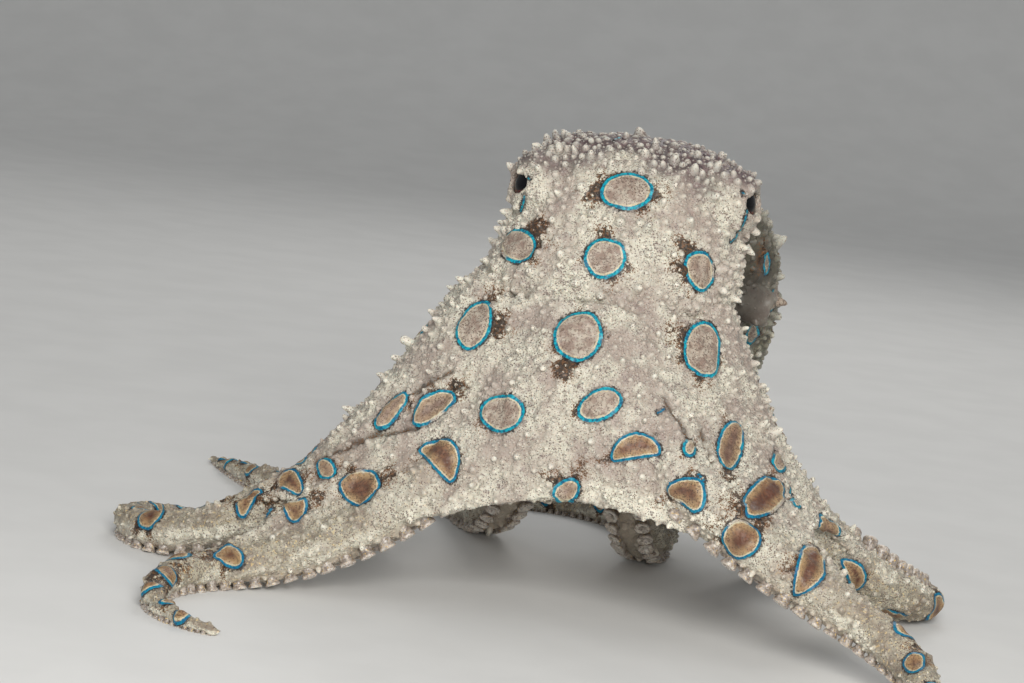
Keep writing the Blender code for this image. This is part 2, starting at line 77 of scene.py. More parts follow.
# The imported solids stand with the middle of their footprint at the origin, and the sizes here start from
# the head, so every piece is moved by what separates the two eyes' places from their solids.
PLACE_SHIFT = np.mean([node_middle(name) - np.array(place) for name, place in EYE_PLACES.items()], axis=0)
PLACE_SHIFT[2] = 0.0


def eye_direction(side):
    flat = math.cos(EYE_UP)
    return np.array((side * flat * math.cos(EYE_FORWARD), -flat * math.sin(EYE_FORWARD), math.sin(EYE_UP)))


def mesh_object(name, points, faces, moved=True):
    """An object from points in millimetres and faces, smooth shaded."""
    points = (np.asarray(points, float) + (PLACE_SHIFT if moved else 0.0)) * MM
    mesh = bpy.data.meshes.new(name)
    faces = [np.asarray(part) for part in (faces if isinstance(faces, list) else [faces])]
    corners = np.concatenate([part.ravel() for part in faces])
    sizes = np.concatenate([np.full(len(part), part.shape[1]) for part in faces])
    mesh.vertices.add(len(points))
    mesh.vertices.foreach_set("co", points.astype(np.float32).ravel())
    mesh.loops.add(len(corners))
    mesh.loops.foreach_set("vertex_index", corners.astype(np.int32))
    mesh.polygons.add(len(sizes))
    mesh.polygons.foreach_set("loop_start", np.concatenate([[0], np.cumsum(sizes)[:-1]]).astype(np.int32))
    mesh.update(calc_edges=True)
    mesh.validate()
    mesh.shade_smooth()
    obj = bpy.data.objects.new(name, mesh)
    bpy.context.scene.collection.objects.link(obj)
    return obj


def set_values(obj, name, values):
    """Writes one number, or one colour's worth of numbers, for each point of an object."""
    values = np.asarray(values, np.float32)
    if values.ndim == 1:
        obj.data.attributes.new(name, "FLOAT", "POINT").data.foreach_set("value", values)
    else:
        full = np.ones((len(values), 4), np.float32)
        full[:, : values.shape[1]] = values
        obj.data.attributes.new(name, "FLOAT_COLOR", "POINT").data.foreach_set("color", full.ravel())


def tube_faces(rows, sides):
    """The squares between rows of points that go round a tube."""
    i, j = np.meshgrid(np.arange(rows - 1), np.arange(sides), indexing="ij")
    here, after = i * sides + j, i * sides + (j + 1) % sides
    return np.stack([here, after, after + sides, here + sides], axis=-1).reshape(-1, 4)


def closed_tube(rings):
    """Points and faces of a tube with a flat end at each side."""
    rings = np.asarray(rings)
    rows, sides = rings.shape[:2]
    caps = [np.arange(sides)[None, ::-1], (np.arange(sides) + (rows - 1) * sides)[None, :]]
    return rings.reshape(-1, 3), [tube_faces(rows, sides)] + caps


class Graph:
    """A tree of shader nodes, wired by the names of their sockets."""

    def __init__(self, tree):
        self.tree = tree

    def add(self, kind, settings=None, out=0, **given):
        made = self.tree.nodes.new(kind)
        for name, value in (settings or {}).items():
            setattr(made, name, value)
        for name, value in given.items():
            key = int(name[1:]) if name[0] == "i" and name[1:].isdigit() else name.replace("_", " ")
            self.put(made.inputs[key], value)
        return made.outputs[out]

    def put(self, socket, value):
        if isinstance(value, bpy.types.NodeSocket):
            self.tree.links.new(value, socket)
        else:
            socket.default_value = value

    def math(self, operation, a, b=0.0):
        return self.add("ShaderNodeMath", {"operation": operation}, i0=a, i1=b)

    def times(self, a, b):
        return self.math("MULTIPLY", a, b)

    def plus(self, a, b):
        return self.math("ADD", a, b)

    def less(self, a, b):
        return self.math("SUBTRACT", a, b)

    def ramp(self, value, low, high, to_low=0.0, to_high=1.0):
        """A smooth way from one number to another, while a value goes from low to high."""
        return self.add("ShaderNodeMapRange", {"interpolation_type": "SMOOTHSTEP"}, i0=value, i1=low, i2=high,
                        i3=to_low, i4=to_high)

    def noise(self, place, scale, detail, roughness=0.5):
        return self.add("ShaderNodeTexNoise", Vector=place, Scale=scale, Detail=detail, Roughness=roughness)

    def mix(self, share, a, b):
        """One colour laid over another by a share, each given as a socket or as its red, green and blue."""
        made = self.tree.nodes.new("ShaderNodeMix")
        made.data_type = "RGBA"
        made.clamp_factor = True
        for place, value in ((0, share), (6, a), (7, b)):
            self.put(made.inputs[place], (*value, 1) if isinstance(value, tuple) else value)
        return made.outputs[2]

    def place(self):
        return self.add("ShaderNodeTexCoord", out=3)

    def field(self, name):
        return self.add("ShaderNodeAttribute", {"attribute_name": name}, out=2)

    def bump(self, shader, strength, depth, height):
        """Lets a material's surface look raised by a height, as deep as a number of millimetres."""
        made = self.tree.nodes.new("ShaderNodeBump")
        set_sockets(made, Strength=strength, Distance=depth * MM)
        self.put(made.inputs["Height"], height)
        self.put(shader.inputs["Normal"], made.outputs[0])


def set_sockets(node, **values):
    """Sets a node's own sockets, by their names with low lines for spaces."""
    for name, value in values.items():
        node.inputs[name.replace("_", " ")].default_value = value


def new_material(name):
    material = bpy.data.materials.new(name)
    material.use_nodes = True
    graph = Graph(material.node_tree)
    return material, graph, material.node_tree.nodes["Principled BSDF"]


def eye_material():
    material, g, shader = new_material("eye_wet")
    across = g.field("eye_across")
    up = g.field("eye_up")
    ways = zip((across, up), PUPIL_HALVES)
    wide, high = (g.math("POWER", g.math("DIVIDE", way, half), 2.0) for way, half in ways)
    reach = g.math("SQRT", g.plus(wide, high))
    pupil = g.ramp(reach, 0.92, 1.04, 1.0, 0.0)
    place = g.place()
    flecks = g.noise(place, 4200.0, 3.0)
    rays = g.noise(place, 1500.0, 2.0)
    iris = g.mix(g.ramp(flecks, 0.45, 0.68), (0.06, 0.010, 0.008), (0.24, 0.06, 0.035))
    iris = g.mix(g.ramp(rays, 0.4, 0.7), iris, (0.03, 0.008, 0.008))
    ball = g.mix(g.ramp(reach, 1.7, 2.3), iris, (0.03, 0.018, 0.018))
    g.put(shader.inputs["Base Color"], g.mix(pupil, ball, (0.002, 0.002, 0.003)))
    set_sockets(shader, Roughness=0.15, Specular_IOR_Level=0.12, Coat_Weight=0.18, Coat_Roughness=0.03)
    return material


EYE_ROWS = 40
EYE_COLUMNS = 64
CORNEA_RISE = 0.12
CORNEA_REACH = 0.5
EYE_TRIM = 0.04
POLE_ROOM = 0.02
wet_eye = eye_material()
for name, centre in EYE_PLACES.items():
    look = eye_direction(EYE_SIDES[name])
    across = unit(np.cross((0, 0, 1.0), look))
    up = np.cross(look, across)
    turn = np.arange(EYE_COLUMNS) * math.tau / EYE_COLUMNS
    rows = []
    for lean in np.linspace(POLE_ROOM, math.pi - POLE_ROOM, EYE_ROWS):
        circle = across * np.cos(turn)[:, None] + up * np.sin(turn)[:, None]
        ring = look * math.cos(lean) + math.sin(lean) * circle
        rows.append(ring * (EYE_RADIUS + CORNEA_RISE * math.exp(-((lean / CORNEA_REACH) ** 2)) - EYE_TRIM))
    points, faces = closed_tube(rows)
    eye = mesh_object(name.replace("eye", "eyeball"), points + np.array(centre), faces)
    set_values(eye, "eye_across", points @ across)
    set_values(eye, "eye_up", points @ up)
    eye.data.materials.append(wet_eye)
    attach(eye, "root")
    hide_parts(name)

# The camera
# It stands where the photograph was taken from: in front and a little above, rolled a few degrees. Marks
# that the photograph shows are placed through it as pixels, and then sit on the skin itself.

LENS = 100.0
SENSOR_WIDTH = 36.0
CAMERA_DISTANCE = 284.4
CAMERA_DOWN = math.radians(8)
CAMERA_ROLL = math.radians(7)
CLIP_NEAR = 0.01
CLIP_FAR = 20.0
PHOTO_WIDTH = 1024
PHOTO_HEIGHT = 683
IMAGE_MIDDLE = (-10.3, 0.0, 0.0)
IMAGE_LIFT = 25.0
PIXELS_PER_MM = PHOTO_WIDTH * LENS / SENSOR_WIDTH / CAMERA_DISTANCE

camera_ahead = np.array((0.0, math.cos(CAMERA_DOWN), -math.sin(CAMERA_DOWN)))
level_up = np.array((0.0, math.sin(CAMERA_DOWN), math.cos(CAMERA_DOWN)))
level_right = np.array((1.0, 0.0, 0.0))
camera_right = level_right * math.cos(CAMERA_ROLL) + level_up * math.sin(CAMERA_ROLL)
camera_up = level_up * math.cos(CAMERA_ROLL) - level_right * math.sin(CAMERA_ROLL)
camera_target = np.array(IMAGE_MIDDLE) + level_up * IMAGE_LIFT
camera_place = camera_target - camera_ahead * CAMERA_DISTANCE

camera_data = bpy.data.cameras.new("camera")
camera_data.lens = LENS
camera_data.sensor_width = SENSOR_WIDTH
camera_data.clip_start = CLIP_NEAR
camera_data.clip_end = CLIP_FAR
camera = bpy.data.objects.new("camera", camera_data)
bpy.context.scene.collection.objects.link(camera)
stand = np.eye(4)
stand[:3, 0] = camera_right
stand[:3, 1] = camera_up
stand[:3, 2] = -camera_ahead
stand[:3, 3] = (camera_place + PLACE_SHIFT) * MM
camera.matrix_world = Matrix(stand)
bpy.context.scene.camera = camera


def sight_line(pixel_x, pixel_y):
    """The direction from the camera through a pixel of the photograph."""
    right = (pixel_x - PHOTO_WIDTH / 2) / PIXELS_PER_MM
    up = (PHOTO_HEIGHT / 2 - pixel_y) / PIXELS_PER_MM
    return unit(camera_ahead * CAMERA_DISTANCE + camera_right * right + camera_up * up)


def pixel_of(points):
    """The pixels of the photograph at which points are seen."""
    away = np.atleast_2d(points) - camera_place
    depth = away @ camera_ahead / CAMERA_DISTANCE
    return np.stack([PHOTO_WIDTH / 2 + away @ camera_right / depth * PIXELS_PER_MM,
                     PHOTO_HEIGHT / 2 - away @ camera_up / depth * PIXELS_PER_MM], axis=1)


# The head
# The real head is a soft block of flesh, narrow at the crown of the arms' roots and flat on top, with a
# bulge and two lids round each eye, and the mouth below it inside the ring of arms.

# Height of each section, its half width, its half depth, and its middle in X and Y
HEAD_SECTIONS = (
    (25.5, 3.0, 2.5, -1.5, 2.5),
    (26.6, 6.2, 4.8, -1.6, 2.5),
    (28.6, 10.2, 7.6, -1.8, 2.5),
    (31.0, 12.3, 9.0, -1.6, 2.7),
    (34.0, 12.2, 9.3, -0.9, 3.4),
    (37.0, 11.5, 9.0, -0.3, 4.4),
    (40.0, 11.0, 8.7, 0.1, 5.4),
    (42.5, 10.8, 8.0, 0.1, 6.2),
    (44.4, 9.4, 6.6, 0.1, 6.9),
    (45.7, 6.8, 4.4, 0.0, 7.3),
    (46.2, 3.4, 2.2, 0.0, 7.5),
)
HEAD_ROWS = 50
HEAD_COLUMNS = 72
FORM_SIDES = 40
BALL_ROWS = 28
LID_THICKNESS = 0.64
LID_HALF_WIDTH = 1.85
LID_HALF_HEIGHT = 1.2
SOCKET_GAP = 0.12
MOUTH = (-1.5, 2.5, 25.5)
MOUTH_RADII = (1.1, 1.1, 0.5)
MOUTH_FROM = -3.0
MOUTH_DEPTH = 1.6
LIP_RADIUS = 1.7
LIP_SHARES = (0.8, 1.25, 1.3)
LIP_FROM = -0.8
LIP_TO = 1.6
SLIT_DEPTH = 6.0


def smooth_rows(table, count):
    """Rows of sizes at even steps along smooth curves through the rows of a table."""
    table = np.array(table, float)
    last = len(table) - 1
    t = np.linspace(0, last, count)
    i = np.clip(t.astype(int), 0, last - 1)
    u = (t - i)[:, None]
    before, here, there, after = (table[np.clip(i + k, 0, last)] for k in (-1, 0, 1, 2))
    return 0.5 * (2 * here + (there - before) * u + (2 * before - 5 * here + 4 * there - after) * u**2
                  + (3 * here - before - 3 * there + after) * u**3)


def oval(middle, across, up, half_width, half_height, sides):
    turn = math.tau * (np.arange(sides) + 0.5) / sides
    wide = np.outer(np.cos(turn) * half_width, across)
    return np.asarray(middle) + wide + np.outer(np.sin(turn) * half_height, up)


def level_oval(middle, half_width, half_depth, sides):
    return oval(middle, (1, 0, 0), (0, 1, 0), half_width, half_depth, sides)


def rod(start, end, radii, squash=1.0):
    start, end = np.array(start, float), np.array(end, float)
    along = unit(end - start)
    across = unit(np.cross(along, (0, 0, 1.0))) if abs(along[2]) < 0.99 else np.array((1.0, 0, 0))
    up = np.cross(across, along)
    steps = np.linspace(0, 1, len(radii))
    return closed_tube([oval(start + (end - start) * t, across, up, r, r * squash, FORM_SIDES)
                        for t, r in zip(steps, radii)])


def ball(centre, radius):
    leans = np.linspace(2 * POLE_ROOM, math.pi - 2 * POLE_ROOM, BALL_ROWS)
    rows = [(np.array(centre) + (0, 0, radius * math.cos(lean)), radius * math.sin(lean)) for lean in leans]
    return closed_tube([level_oval(middle, half, half, FORM_SIDES) for middle, half in rows])


def outward(obj):
    """Turns an object's faces outward."""
    bm = bmesh.new()
    bm.from_mesh(obj.data)
    bmesh.ops.recalc_face_normals(bm, faces=bm.faces)
    bm.to_mesh(obj.data)
    bm.free()
    return obj


def worked(obj, others, operation):
    """Joins or cuts an object with others in one step."""
    holder = bpy.data.collections.new("work")
    bpy.context.scene.collection.children.link(holder)
    for other in others:
        bpy.context.scene.collection.objects.unlink(other)
        holder.objects.link(other)
    step = obj.modifiers.new("work", "BOOLEAN")
    step.operation = operation
    step.operand_type = "COLLECTION"
    step.collection = holder
    step.solver = "MANIFOLD"
    made = evaluated_mesh(obj)
    obj.modifiers.clear()
    obj.data = made
    for other in others:
        bpy.data.objects.remove(other)
    bpy.data.collections.remove(holder)
    return obj


def evaluated_mesh(obj):
    bpy.context.view_layer.update()
    return bpy.data.meshes.new_from_object(obj.evaluated_get(bpy.context.evaluated_depsgraph_get()))


def read_out(items, name, width, kind=np.int32):
    """One value, or a few in a row, of each item of a mesh."""
    found = np.empty(len(items) * width, kind)
    items.foreach_get(name, found)
    return found.reshape(-1, width) if width > 1 else found


def points_of(mesh):
    """A mesh's points in millimetres before the shift."""
    return read_out(mesh.vertices, "co", 3, np.float32).astype(float) / MM - PLACE_SHIFT


def mesh_arrays(mesh):
    mesh.calc_loop_triangles()
    return points_of(mesh), read_out(mesh.loop_triangles, "vertices", 3)


def form(points, faces):
    return outward(mesh_object("form", points, faces))


def arrays_taken(obj):
    """An object's points and triangles, after which the object itself is gone."""
    found = mesh_arrays(obj.data)
    bpy.data.objects.remove(obj)
    return found


def head_form():
    sizes = smooth_rows(HEAD_SECTIONS, HEAD_ROWS)
    head = [level_oval((x, y, z), wide, deep, HEAD_COLUMNS) for z, wide, deep, x, y in sizes]
    head = form(*closed_tube(head))
    added = []
    cut = []
    for name, centre in EYE_PLACES.items():
        look = eye_direction(EYE_SIDES[name])
        added.append(form(*ball(centre, EYE_RADIUS + LID_THICKNESS)))
        cut.append(form(*ball(centre, EYE_RADIUS + SOCKET_GAP)))
        slit = LID_HALF_HEIGHT / LID_HALF_WIDTH
        cut.append(form(*rod(centre, centre + look * SLIT_DEPTH, (LID_HALF_WIDTH,) * 2, slit)))
    mouth = np.array(MOUTH)
    lip = [LIP_RADIUS * share for share in LIP_SHARES]
    added.append(form(*rod(mouth + (0, 0, LIP_FROM), mouth + (0, 0, LIP_TO), lip)))
    cut.append(form(*rod(mouth + (0, 0, MOUTH_FROM), mouth + (0, 0, MOUTH_DEPTH), MOUTH_RADII)))
    worked(head, added, "UNION")
    worked(head, cut, "DIFFERENCE")
    return arrays_taken(head)


# The mantle and the funnel
# The mantle is the sac that holds the gut and gills. It grows out of the back of the head and hangs back
# and to the right, and the funnel is the short soft tube that comes out of its opening on that side.

MANTLE_NECK = (-0.5, 8.0, 38.6)
MANTLE_BEND = (5.5, 21.0, 37.4)
MANTLE_TIP = (11.7, 37.5, 15.0)
MANTLE_HALF_WIDTH = 12.0
MANTLE_HALF_DEPTH = 8.4
MANTLE_NECK_WIDTH = 0.62
MANTLE_NECK_DEPTH = 0.45
MANTLE_WIDEST = 0.42
MANTLE_TAPER = 0.62
MANTLE_TIP_SHARE = 0.035
MANTLE_ROWS = 60
MANTLE_COLUMNS = 64
FUNNEL_ROOT = (5.5, 13.2, 33.0)
FUNNEL_END = (15.6, 13.8, 29.8)
FUNNEL_ROOT_RADIUS = 3.5
FUNNEL_END_RADIUS = 1.8
FUNNEL_BORE = 1.15
FUNNEL_BORE_DEPTH = 3.5
FUNNEL_ROWS = 14


def mantle_frame(s):
    """Middle, heading, cross and upward directions of the mantle, at a share of the way to its tip."""
    neck, bend, tip = (np.array(point) for point in (MANTLE_NECK, MANTLE_BEND, MANTLE_TIP))
    middle = neck * (1 - s) ** 2 + bend * 2 * s * (1 - s) + tip * s * s
    along = unit((bend - neck) * (1 - s) + (tip - bend) * s)
    across = unit(np.cross(along, (0, 0, 1.0)))
    return middle, along, across, np.cross(across, along)


def mantle_halves(s):
    """The mantle's half width and half depth at a share of the way to its tip."""
    swell = math.sin(math.pi / 2 * min(1.0, s / MANTLE_WIDEST))
    taper = max(0.0, 1 - s**3) ** MANTLE_TAPER
    width = (MANTLE_NECK_WIDTH + (1 - MANTLE_NECK_WIDTH) * swell) * taper + MANTLE_TIP_SHARE
    depth = (MANTLE_NECK_DEPTH + (1 - MANTLE_NECK_DEPTH) * swell) * taper + MANTLE_TIP_SHARE
    return MANTLE_HALF_WIDTH * width, MANTLE_HALF_DEPTH * depth


def mantle_form():
    rings = []
    for s in np.sin(math.pi / 2 * np.linspace(0, 1, MANTLE_ROWS)):
        middle, _, across, up = mantle_frame(s)
        rings.append(oval(middle, across, up, *mantle_halves(s), MANTLE_COLUMNS))
    return arrays_taken(form(*closed_tube(rings)))


def funnel_radius(t):
    return FUNNEL_ROOT_RADIUS + (FUNNEL_END_RADIUS - FUNNEL_ROOT_RADIUS) * t**0.8


def funnel_form():
    root, end = np.array(FUNNEL_ROOT), np.array(FUNNEL_END)
    along = unit(end - root)
    funnel = form(*rod(root, end, [funnel_radius(t) for t in np.linspace(0, 1, FUNNEL_ROWS)]))
    bore = form(*rod(end - along * FUNNEL_BORE_DEPTH, end + along, (FUNNEL_BORE,) * 2))
    worked(funnel, [bore], "DIFFERENCE")
    return arrays_taken(funnel)


# The arms
# Eight arms of solid muscle grow from a ring inside the head's lower end. They fall to the floor like the
# ribs of a tent, run out along it, and curl at their ends. The second right one is turned over.

CROWN_MIDDLE = (-2.0, 2.5)
CROWN_HALF_WIDTH = 11.0
CROWN_HALF_DEPTH = 6.5
CROWN_HEIGHT = 30.5
ARM_LENGTH = 68.0
ARM_RADIUS = 3.05
ARM_TIP_RADIUS = 0.32
ARM_DEPTH_SHARE = 0.9
ARM_TAPER_POWER = 2.1
ARM_STEPS = 136
ARM_ROWS = 240
ARM_COLUMNS = 28

# For each arm, in degrees: place on the crown, first bearing, how far it sweeps by mid length, how far
# the end curls and how steeply it leaves the head, and then the length at which it lies on the floor
ARMS = {
    "arm_right_1": (-67, -95, 82, -190, 60, 64),
    "arm_right_2": (-25, -34, 62, 205, 66, 48),
    "arm_right_3": (27, 46, 10, 150, 62, 42),
    "arm_right_4": (65, 71, 4, 140, 76, 36),
    "arm_left_4": (112, 104, 2, 40, 68, 39),
    "arm_left_3": (153, 138, -8, -18, 60, 42),
    "arm_left_2": (205, 190, -6, -215, 55, 46),
    "arm_left_1": (247, 228, -45, 165, 63, 45),
}
SWEEP_LENGTH = 26.0
CURL_START = 34.0
CURL_POWER = 1.35
TURNED_ARM = "arm_right_2"
TURN_ANGLE = math.radians(140)
TURN_FROM = 20.0
TURN_TO = 33.0
SUCKER_RADIUS_SHARE = 0.31
SUCKER_LEAST_RADIUS = 0.15
SUCKER_HEIGHT_SHARE = 0.9
SUCKER_TURNED_SHARE = 1.6
SUCKER_ANGLE = math.radians(33)
FLOOR_SINK = 0.12


def arm_width(s):
    """Half width of an arm at a length from its root."""
    t = np.clip(np.asarray(s, float) / ARM_LENGTH, 0, 1)
    return ARM_TIP_RADIUS + (ARM_RADIUS - ARM_TIP_RADIUS) * (1 - t**ARM_TAPER_POWER)


def sucker_radius(s):
    return SUCKER_LEAST_RADIUS + SUCKER_RADIUS_SHARE * arm_width(s)


def sucker_height(s, name):
    return (SUCKER_TURNED_SHARE if name == TURNED_ARM else SUCKER_HEIGHT_SHARE) * sucker_radius(s)


def arm_route(name):
    """Lengths, middles, headings, upward sides and cross directions along an arm, and its webs' side."""
    crown, bearing, sweep, curl, steep, landing = ARMS[name]
    s = np.linspace(0, ARM_LENGTH, ARM_STEPS + 1)
    width = arm_width(s)
    if name == TURNED_ARM:
        rest = ARM_DEPTH_SHARE * width
    else:
        rest = ARM_DEPTH_SHARE * width * math.cos(SUCKER_ANGLE) + sucker_height(s, name) - FLOOR_SINK
    drop = CROWN_HEIGHT - rest[0]
    t = np.clip(s / landing, 0, 1)
    ease = 2 - math.sin(math.radians(steep)) * landing / drop
    height = rest + drop * (1 - t) ** 2 * (1 + ease * t)
    fall = np.gradient(height, s)
    level = np.sqrt(np.clip(1 - fall**2, 0.02, 1))
    sweep = sweep * np.clip(s / SWEEP_LENGTH, 0, 1)
    curl = curl * np.clip((s - CURL_START) / (ARM_LENGTH - CURL_START), 0, 1) ** CURL_POWER
    bearing = np.radians(bearing + sweep + curl)
    step = s[1] - s[0]
    ahead = np.stack([np.cos(bearing), np.sin(bearing), 0 * bearing], axis=1)
    moved = np.cumsum(ahead * (level * step)[:, None], axis=0) - ahead * (level * step)[:, None] / 2
    crown = math.radians(crown)
    start = np.array((CROWN_MIDDLE[0] + CROWN_HALF_WIDTH * math.cos(crown),
                      CROWN_MIDDLE[1] + CROWN_HALF_DEPTH * math.sin(crown), 0.0))
    middle = start + moved
    middle[:, 2] = height
    along = units(np.gradient(middle, axis=0))
    up = -along[:, 2:3] * ahead + np.sqrt(1 - along[:, 2:3] ** 2) * np.array((0, 0, 1.0))
    up = units(up - along * (up * along).sum(axis=1)[:, None])
    across = np.cross(along, up)
    rib = up
    if name == TURNED_ARM:
        ease = np.clip((s - TURN_FROM) / (TURN_TO - TURN_FROM), 0, 1)
        angle = TURN_ANGLE * (ease * ease * (3 - 2 * ease))[:, None]
        up, across = up * np.cos(angle) + across * np.sin(angle), across * np.cos(angle) - up * np.sin(angle)
    return s, middle, along, up, across, rib


ROUTES = {name: arm_route(name) for name in ARMS}


def route_at(name, length):
    """Middle, heading, upward side, cross direction and web side of an arm at one length or at several."""
    s, *columns = ROUTES[name]
    length = np.asarray(length, float)
    found = [np.stack([np.interp(length, s, column[:, k]) for k in range(3)], axis=-1) for column in columns]
    return [found[0]] + [units(side) for side in found[1:]]


def arm_points(name, lengths, turns):
    """Points on an arm's surface, for each length at each turn round it, where a quarter turn is its top."""
    middle, _, up, across, _ = route_at(name, lengths)
    half = arm_width(lengths)[:, None, None]
    side = across[:, None, :] * np.cos(turns)[None, :, None]
    rise = up[:, None, :] * np.sin(turns)[None, :, None] * ARM_DEPTH_SHARE
    return middle[:, None, :] + half * (side + rise)


def arm_form(name):
    lengths = np.linspace(0, ARM_LENGTH, ARM_ROWS)
    turns = math.tau * (np.arange(ARM_COLUMNS) + 0.5) / ARM_COLUMNS
    return arrays_taken(form(*closed_tube(arm_points(name, lengths, turns))))


# The web
# A thin sheet of skin and muscle runs from each arm to the next, from the head down to a hem that curves
# up between them. It drapes over the arms like cloth over tent ribs, with soft folds down it.

WEB_TOP = 2.0
WEB_THICKNESS = 1.3
WEB_LIFT = 0.68
WEB_ACROSS = 40
WEB_DOWN = 60
# Each sheet's two arms, how far down it reaches and how far it bellies out
WEBS = (
    ("web_front", "arm_left_1", "arm_right_1", 37.0, 3.0),
    ("web_right_1_2", "arm_right_1", "arm_right_2", 34.0, 1.2),
    ("web_right_2_3", "arm_right_2", "arm_right_3", 23.0, 1.4),
    ("web_right_3_4", "arm_right_3", "arm_right_4", 25.0, 1.2),
    ("web_back", "arm_right_4", "arm_left_4", 26.0, 1.4),
    ("web_left_3_4", "arm_left_4", "arm_left_3", 25.0, 1.2),
    ("web_left_2_3", "arm_left_3", "arm_left_2", 25.0, 1.4),
    ("web_left_1_2", "arm_left_2", "arm_left_1", 40.0, 1.2),
)


def web_faces(first, second, reach, belly, across_steps, down_steps):
    """The outer and inner points of a web, in rows from its first arm to its second."""
    sheet, lead = [], []
    for across in np.linspace(0, 1, across_steps + 1):
        hem = reach * (1.12 - 0.3 * math.sin(math.pi * across))
        down = np.linspace(0, 1, down_steps + 1)
        length = WEB_TOP + (hem - WEB_TOP) * down
        a, *_, up_a = route_at(first, length)
        b, *_, up_b = route_at(second, length)
        lift = (WEB_LIFT * arm_width(length))[:, None]
        out = units(up_a * (1 - across) + up_b * across)
        bulge = belly * 4 * across * (1 - across) * np.sin(math.pi / 2 * np.minimum(1.0, 0.35 + down))
        sheet.append((a + up_a * lift) * (1 - across) + (b + up_b * lift) * across + out * bulge[:, None])
        lead.append(out)
    sheet, lead = np.array(sheet), np.array(lead)
    square = np.cross(np.gradient(sheet, axis=0), np.gradient(sheet, axis=1))
    square *= np.sign((square * lead).sum()) / np.maximum(np.linalg.norm(square, axis=2), 1e-6)[:, :, None]
    half = (WEB_THICKNESS / 2 * (1 - 0.3 * down))[None, :, None]
    return sheet + square * half, sheet - square * half


def web_form(first, second, reach, belly):
    outer, inner = web_faces(first, second, reach, belly, WEB_ACROSS, WEB_DOWN)
    rows = WEB_DOWN + 1
    i, j = (grid.ravel() for grid in np.meshgrid(np.arange(WEB_ACROSS), np.arange(WEB_DOWN), indexing="ij"))
    square = np.stack([i * rows + j, (i + 1) * rows + j, (i + 1) * rows + j + 1, i * rows + j + 1], axis=1)
    below = len(outer) * rows
    edge = [k * rows for k in range(WEB_ACROSS)] + [WEB_ACROSS * rows + k for k in range(WEB_DOWN)]
    edge += [k * rows + WEB_DOWN for k in range(WEB_ACROSS, 0, -1)]
    edge = np.array(edge + list(range(WEB_DOWN, 0, -1)))
    after = np.roll(edge, -1)
    hem = np.stack([edge, after, after + below, edge + below], axis=1)
    points = np.concatenate([outer.reshape(-1, 3), inner.reshape(-1, 3)])
    return arrays_taken(form(points, [square, square[:, ::-1] + below, hem]))


# The skin
# One thin wet skin covers everything, crinkled and a little loose, pinkish grey with fine dark dots, and
# mauve on top of the head. It is laid over all the forms at once, so that no seam shows between them.

SKIN_GRAIN = 0.25
SMOOTHING_ROUNDS = 11
SMOOTHING_PUSH = 0.5
SMOOTHING_PULL = -0.52
LUMP_WAVES = 26
HEAD, MANTLE, FUNNEL = 0, 1, 2
FIRST_ARM = 3
FIRST_WEB = FIRST_ARM + len(ARMS)
# How many points are taken round or across each kind of form to tell the skin's parts from each other
HEAD_SAMPLES = 36
SAC_SAMPLES = 24
ARM_SAMPLES = 16
WEB_SAMPLES = (18, 30)
HEAD_LOWEST = 25.0
HEAD_TALL = 22.0
PART_ROUNDS = 6
OUT_ROUNDS = 10


def joined(forms):
    points, faces, first = [], [], 0
    for form_points, form_faces in forms:
        points.append(form_points)
        faces.append(form_faces + first)
        first += len(form_points)
    return np.concatenate(points), np.concatenate(faces)


def laid_over(forms):
    """One even skin over all the forms together, as its points, its squares and its edges."""
    obj = mesh_object("forms", *joined(forms))
    cover = obj.modifiers.new("cover", "REMESH")
    cover.mode = "VOXEL"
    cover.voxel_size = SKIN_GRAIN * MM
    mesh = evaluated_mesh(obj)
    bpy.data.objects.remove(obj)
    corners = read_out(mesh.loops, "vertex_index", 1).reshape(-1, 4)
    return points_of(mesh), corners, read_out(mesh.edges, "vertices", 2)


def neighbour_sums(values, edges):
    """For each point, the sum of its neighbours' values."""
    first, second = edges[:, 0], edges[:, 1]
    return np.bincount(first, values[second], len(values)) + np.bincount(second, values[first], len(values))


def by_axis(made, points):
    return np.stack([made(points[:, k]) for k in range(3)], axis=1)


def drawn_in(points, edges):
    """Points after rounds of smoothing that keep their volume."""
    count = np.maximum(np.bincount(edges.ravel(), minlength=len(points)), 1)[:, None]
    for share in (SMOOTHING_PUSH, SMOOTHING_PULL) * SMOOTHING_ROUNDS:
        total = by_axis(lambda axis: neighbour_sums(axis, edges), points)
        points = points + share * (total / count - points)
    return points


def point_normals(points, faces):
    a, b, c, d = (points[faces[:, k]] for k in range(4))
    face = np.cross(c - a, d - b)
    total = by_axis(lambda axis: np.bincount(faces.ravel(), np.repeat(axis, 4), len(points)), face)
    return total / np.maximum(np.linalg.norm(total, axis=1), 1e-9)[:, None]


def lumps(points, wavelength, seed):
    """A smooth uneven field over points, near zero on average, with hills about a wavelength apart."""
    draw = np.random.default_rng(seed)
    total = np.zeros(len(points))
    for _ in range(LUMP_WAVES):
        heading = unit(draw.normal(size=3)) * draw.uniform(0.7, 1.3) * math.tau / wavelength
        total += np.cos(points @ heading + draw.uniform(0, math.tau))
    return total * math.sqrt(2 / LUMP_WAVES)


def step_up(values, low, high):
    t = np.clip((np.asarray(values) - low) / (high - low), 0, 1)
    return t * t * (3 - 2 * t)


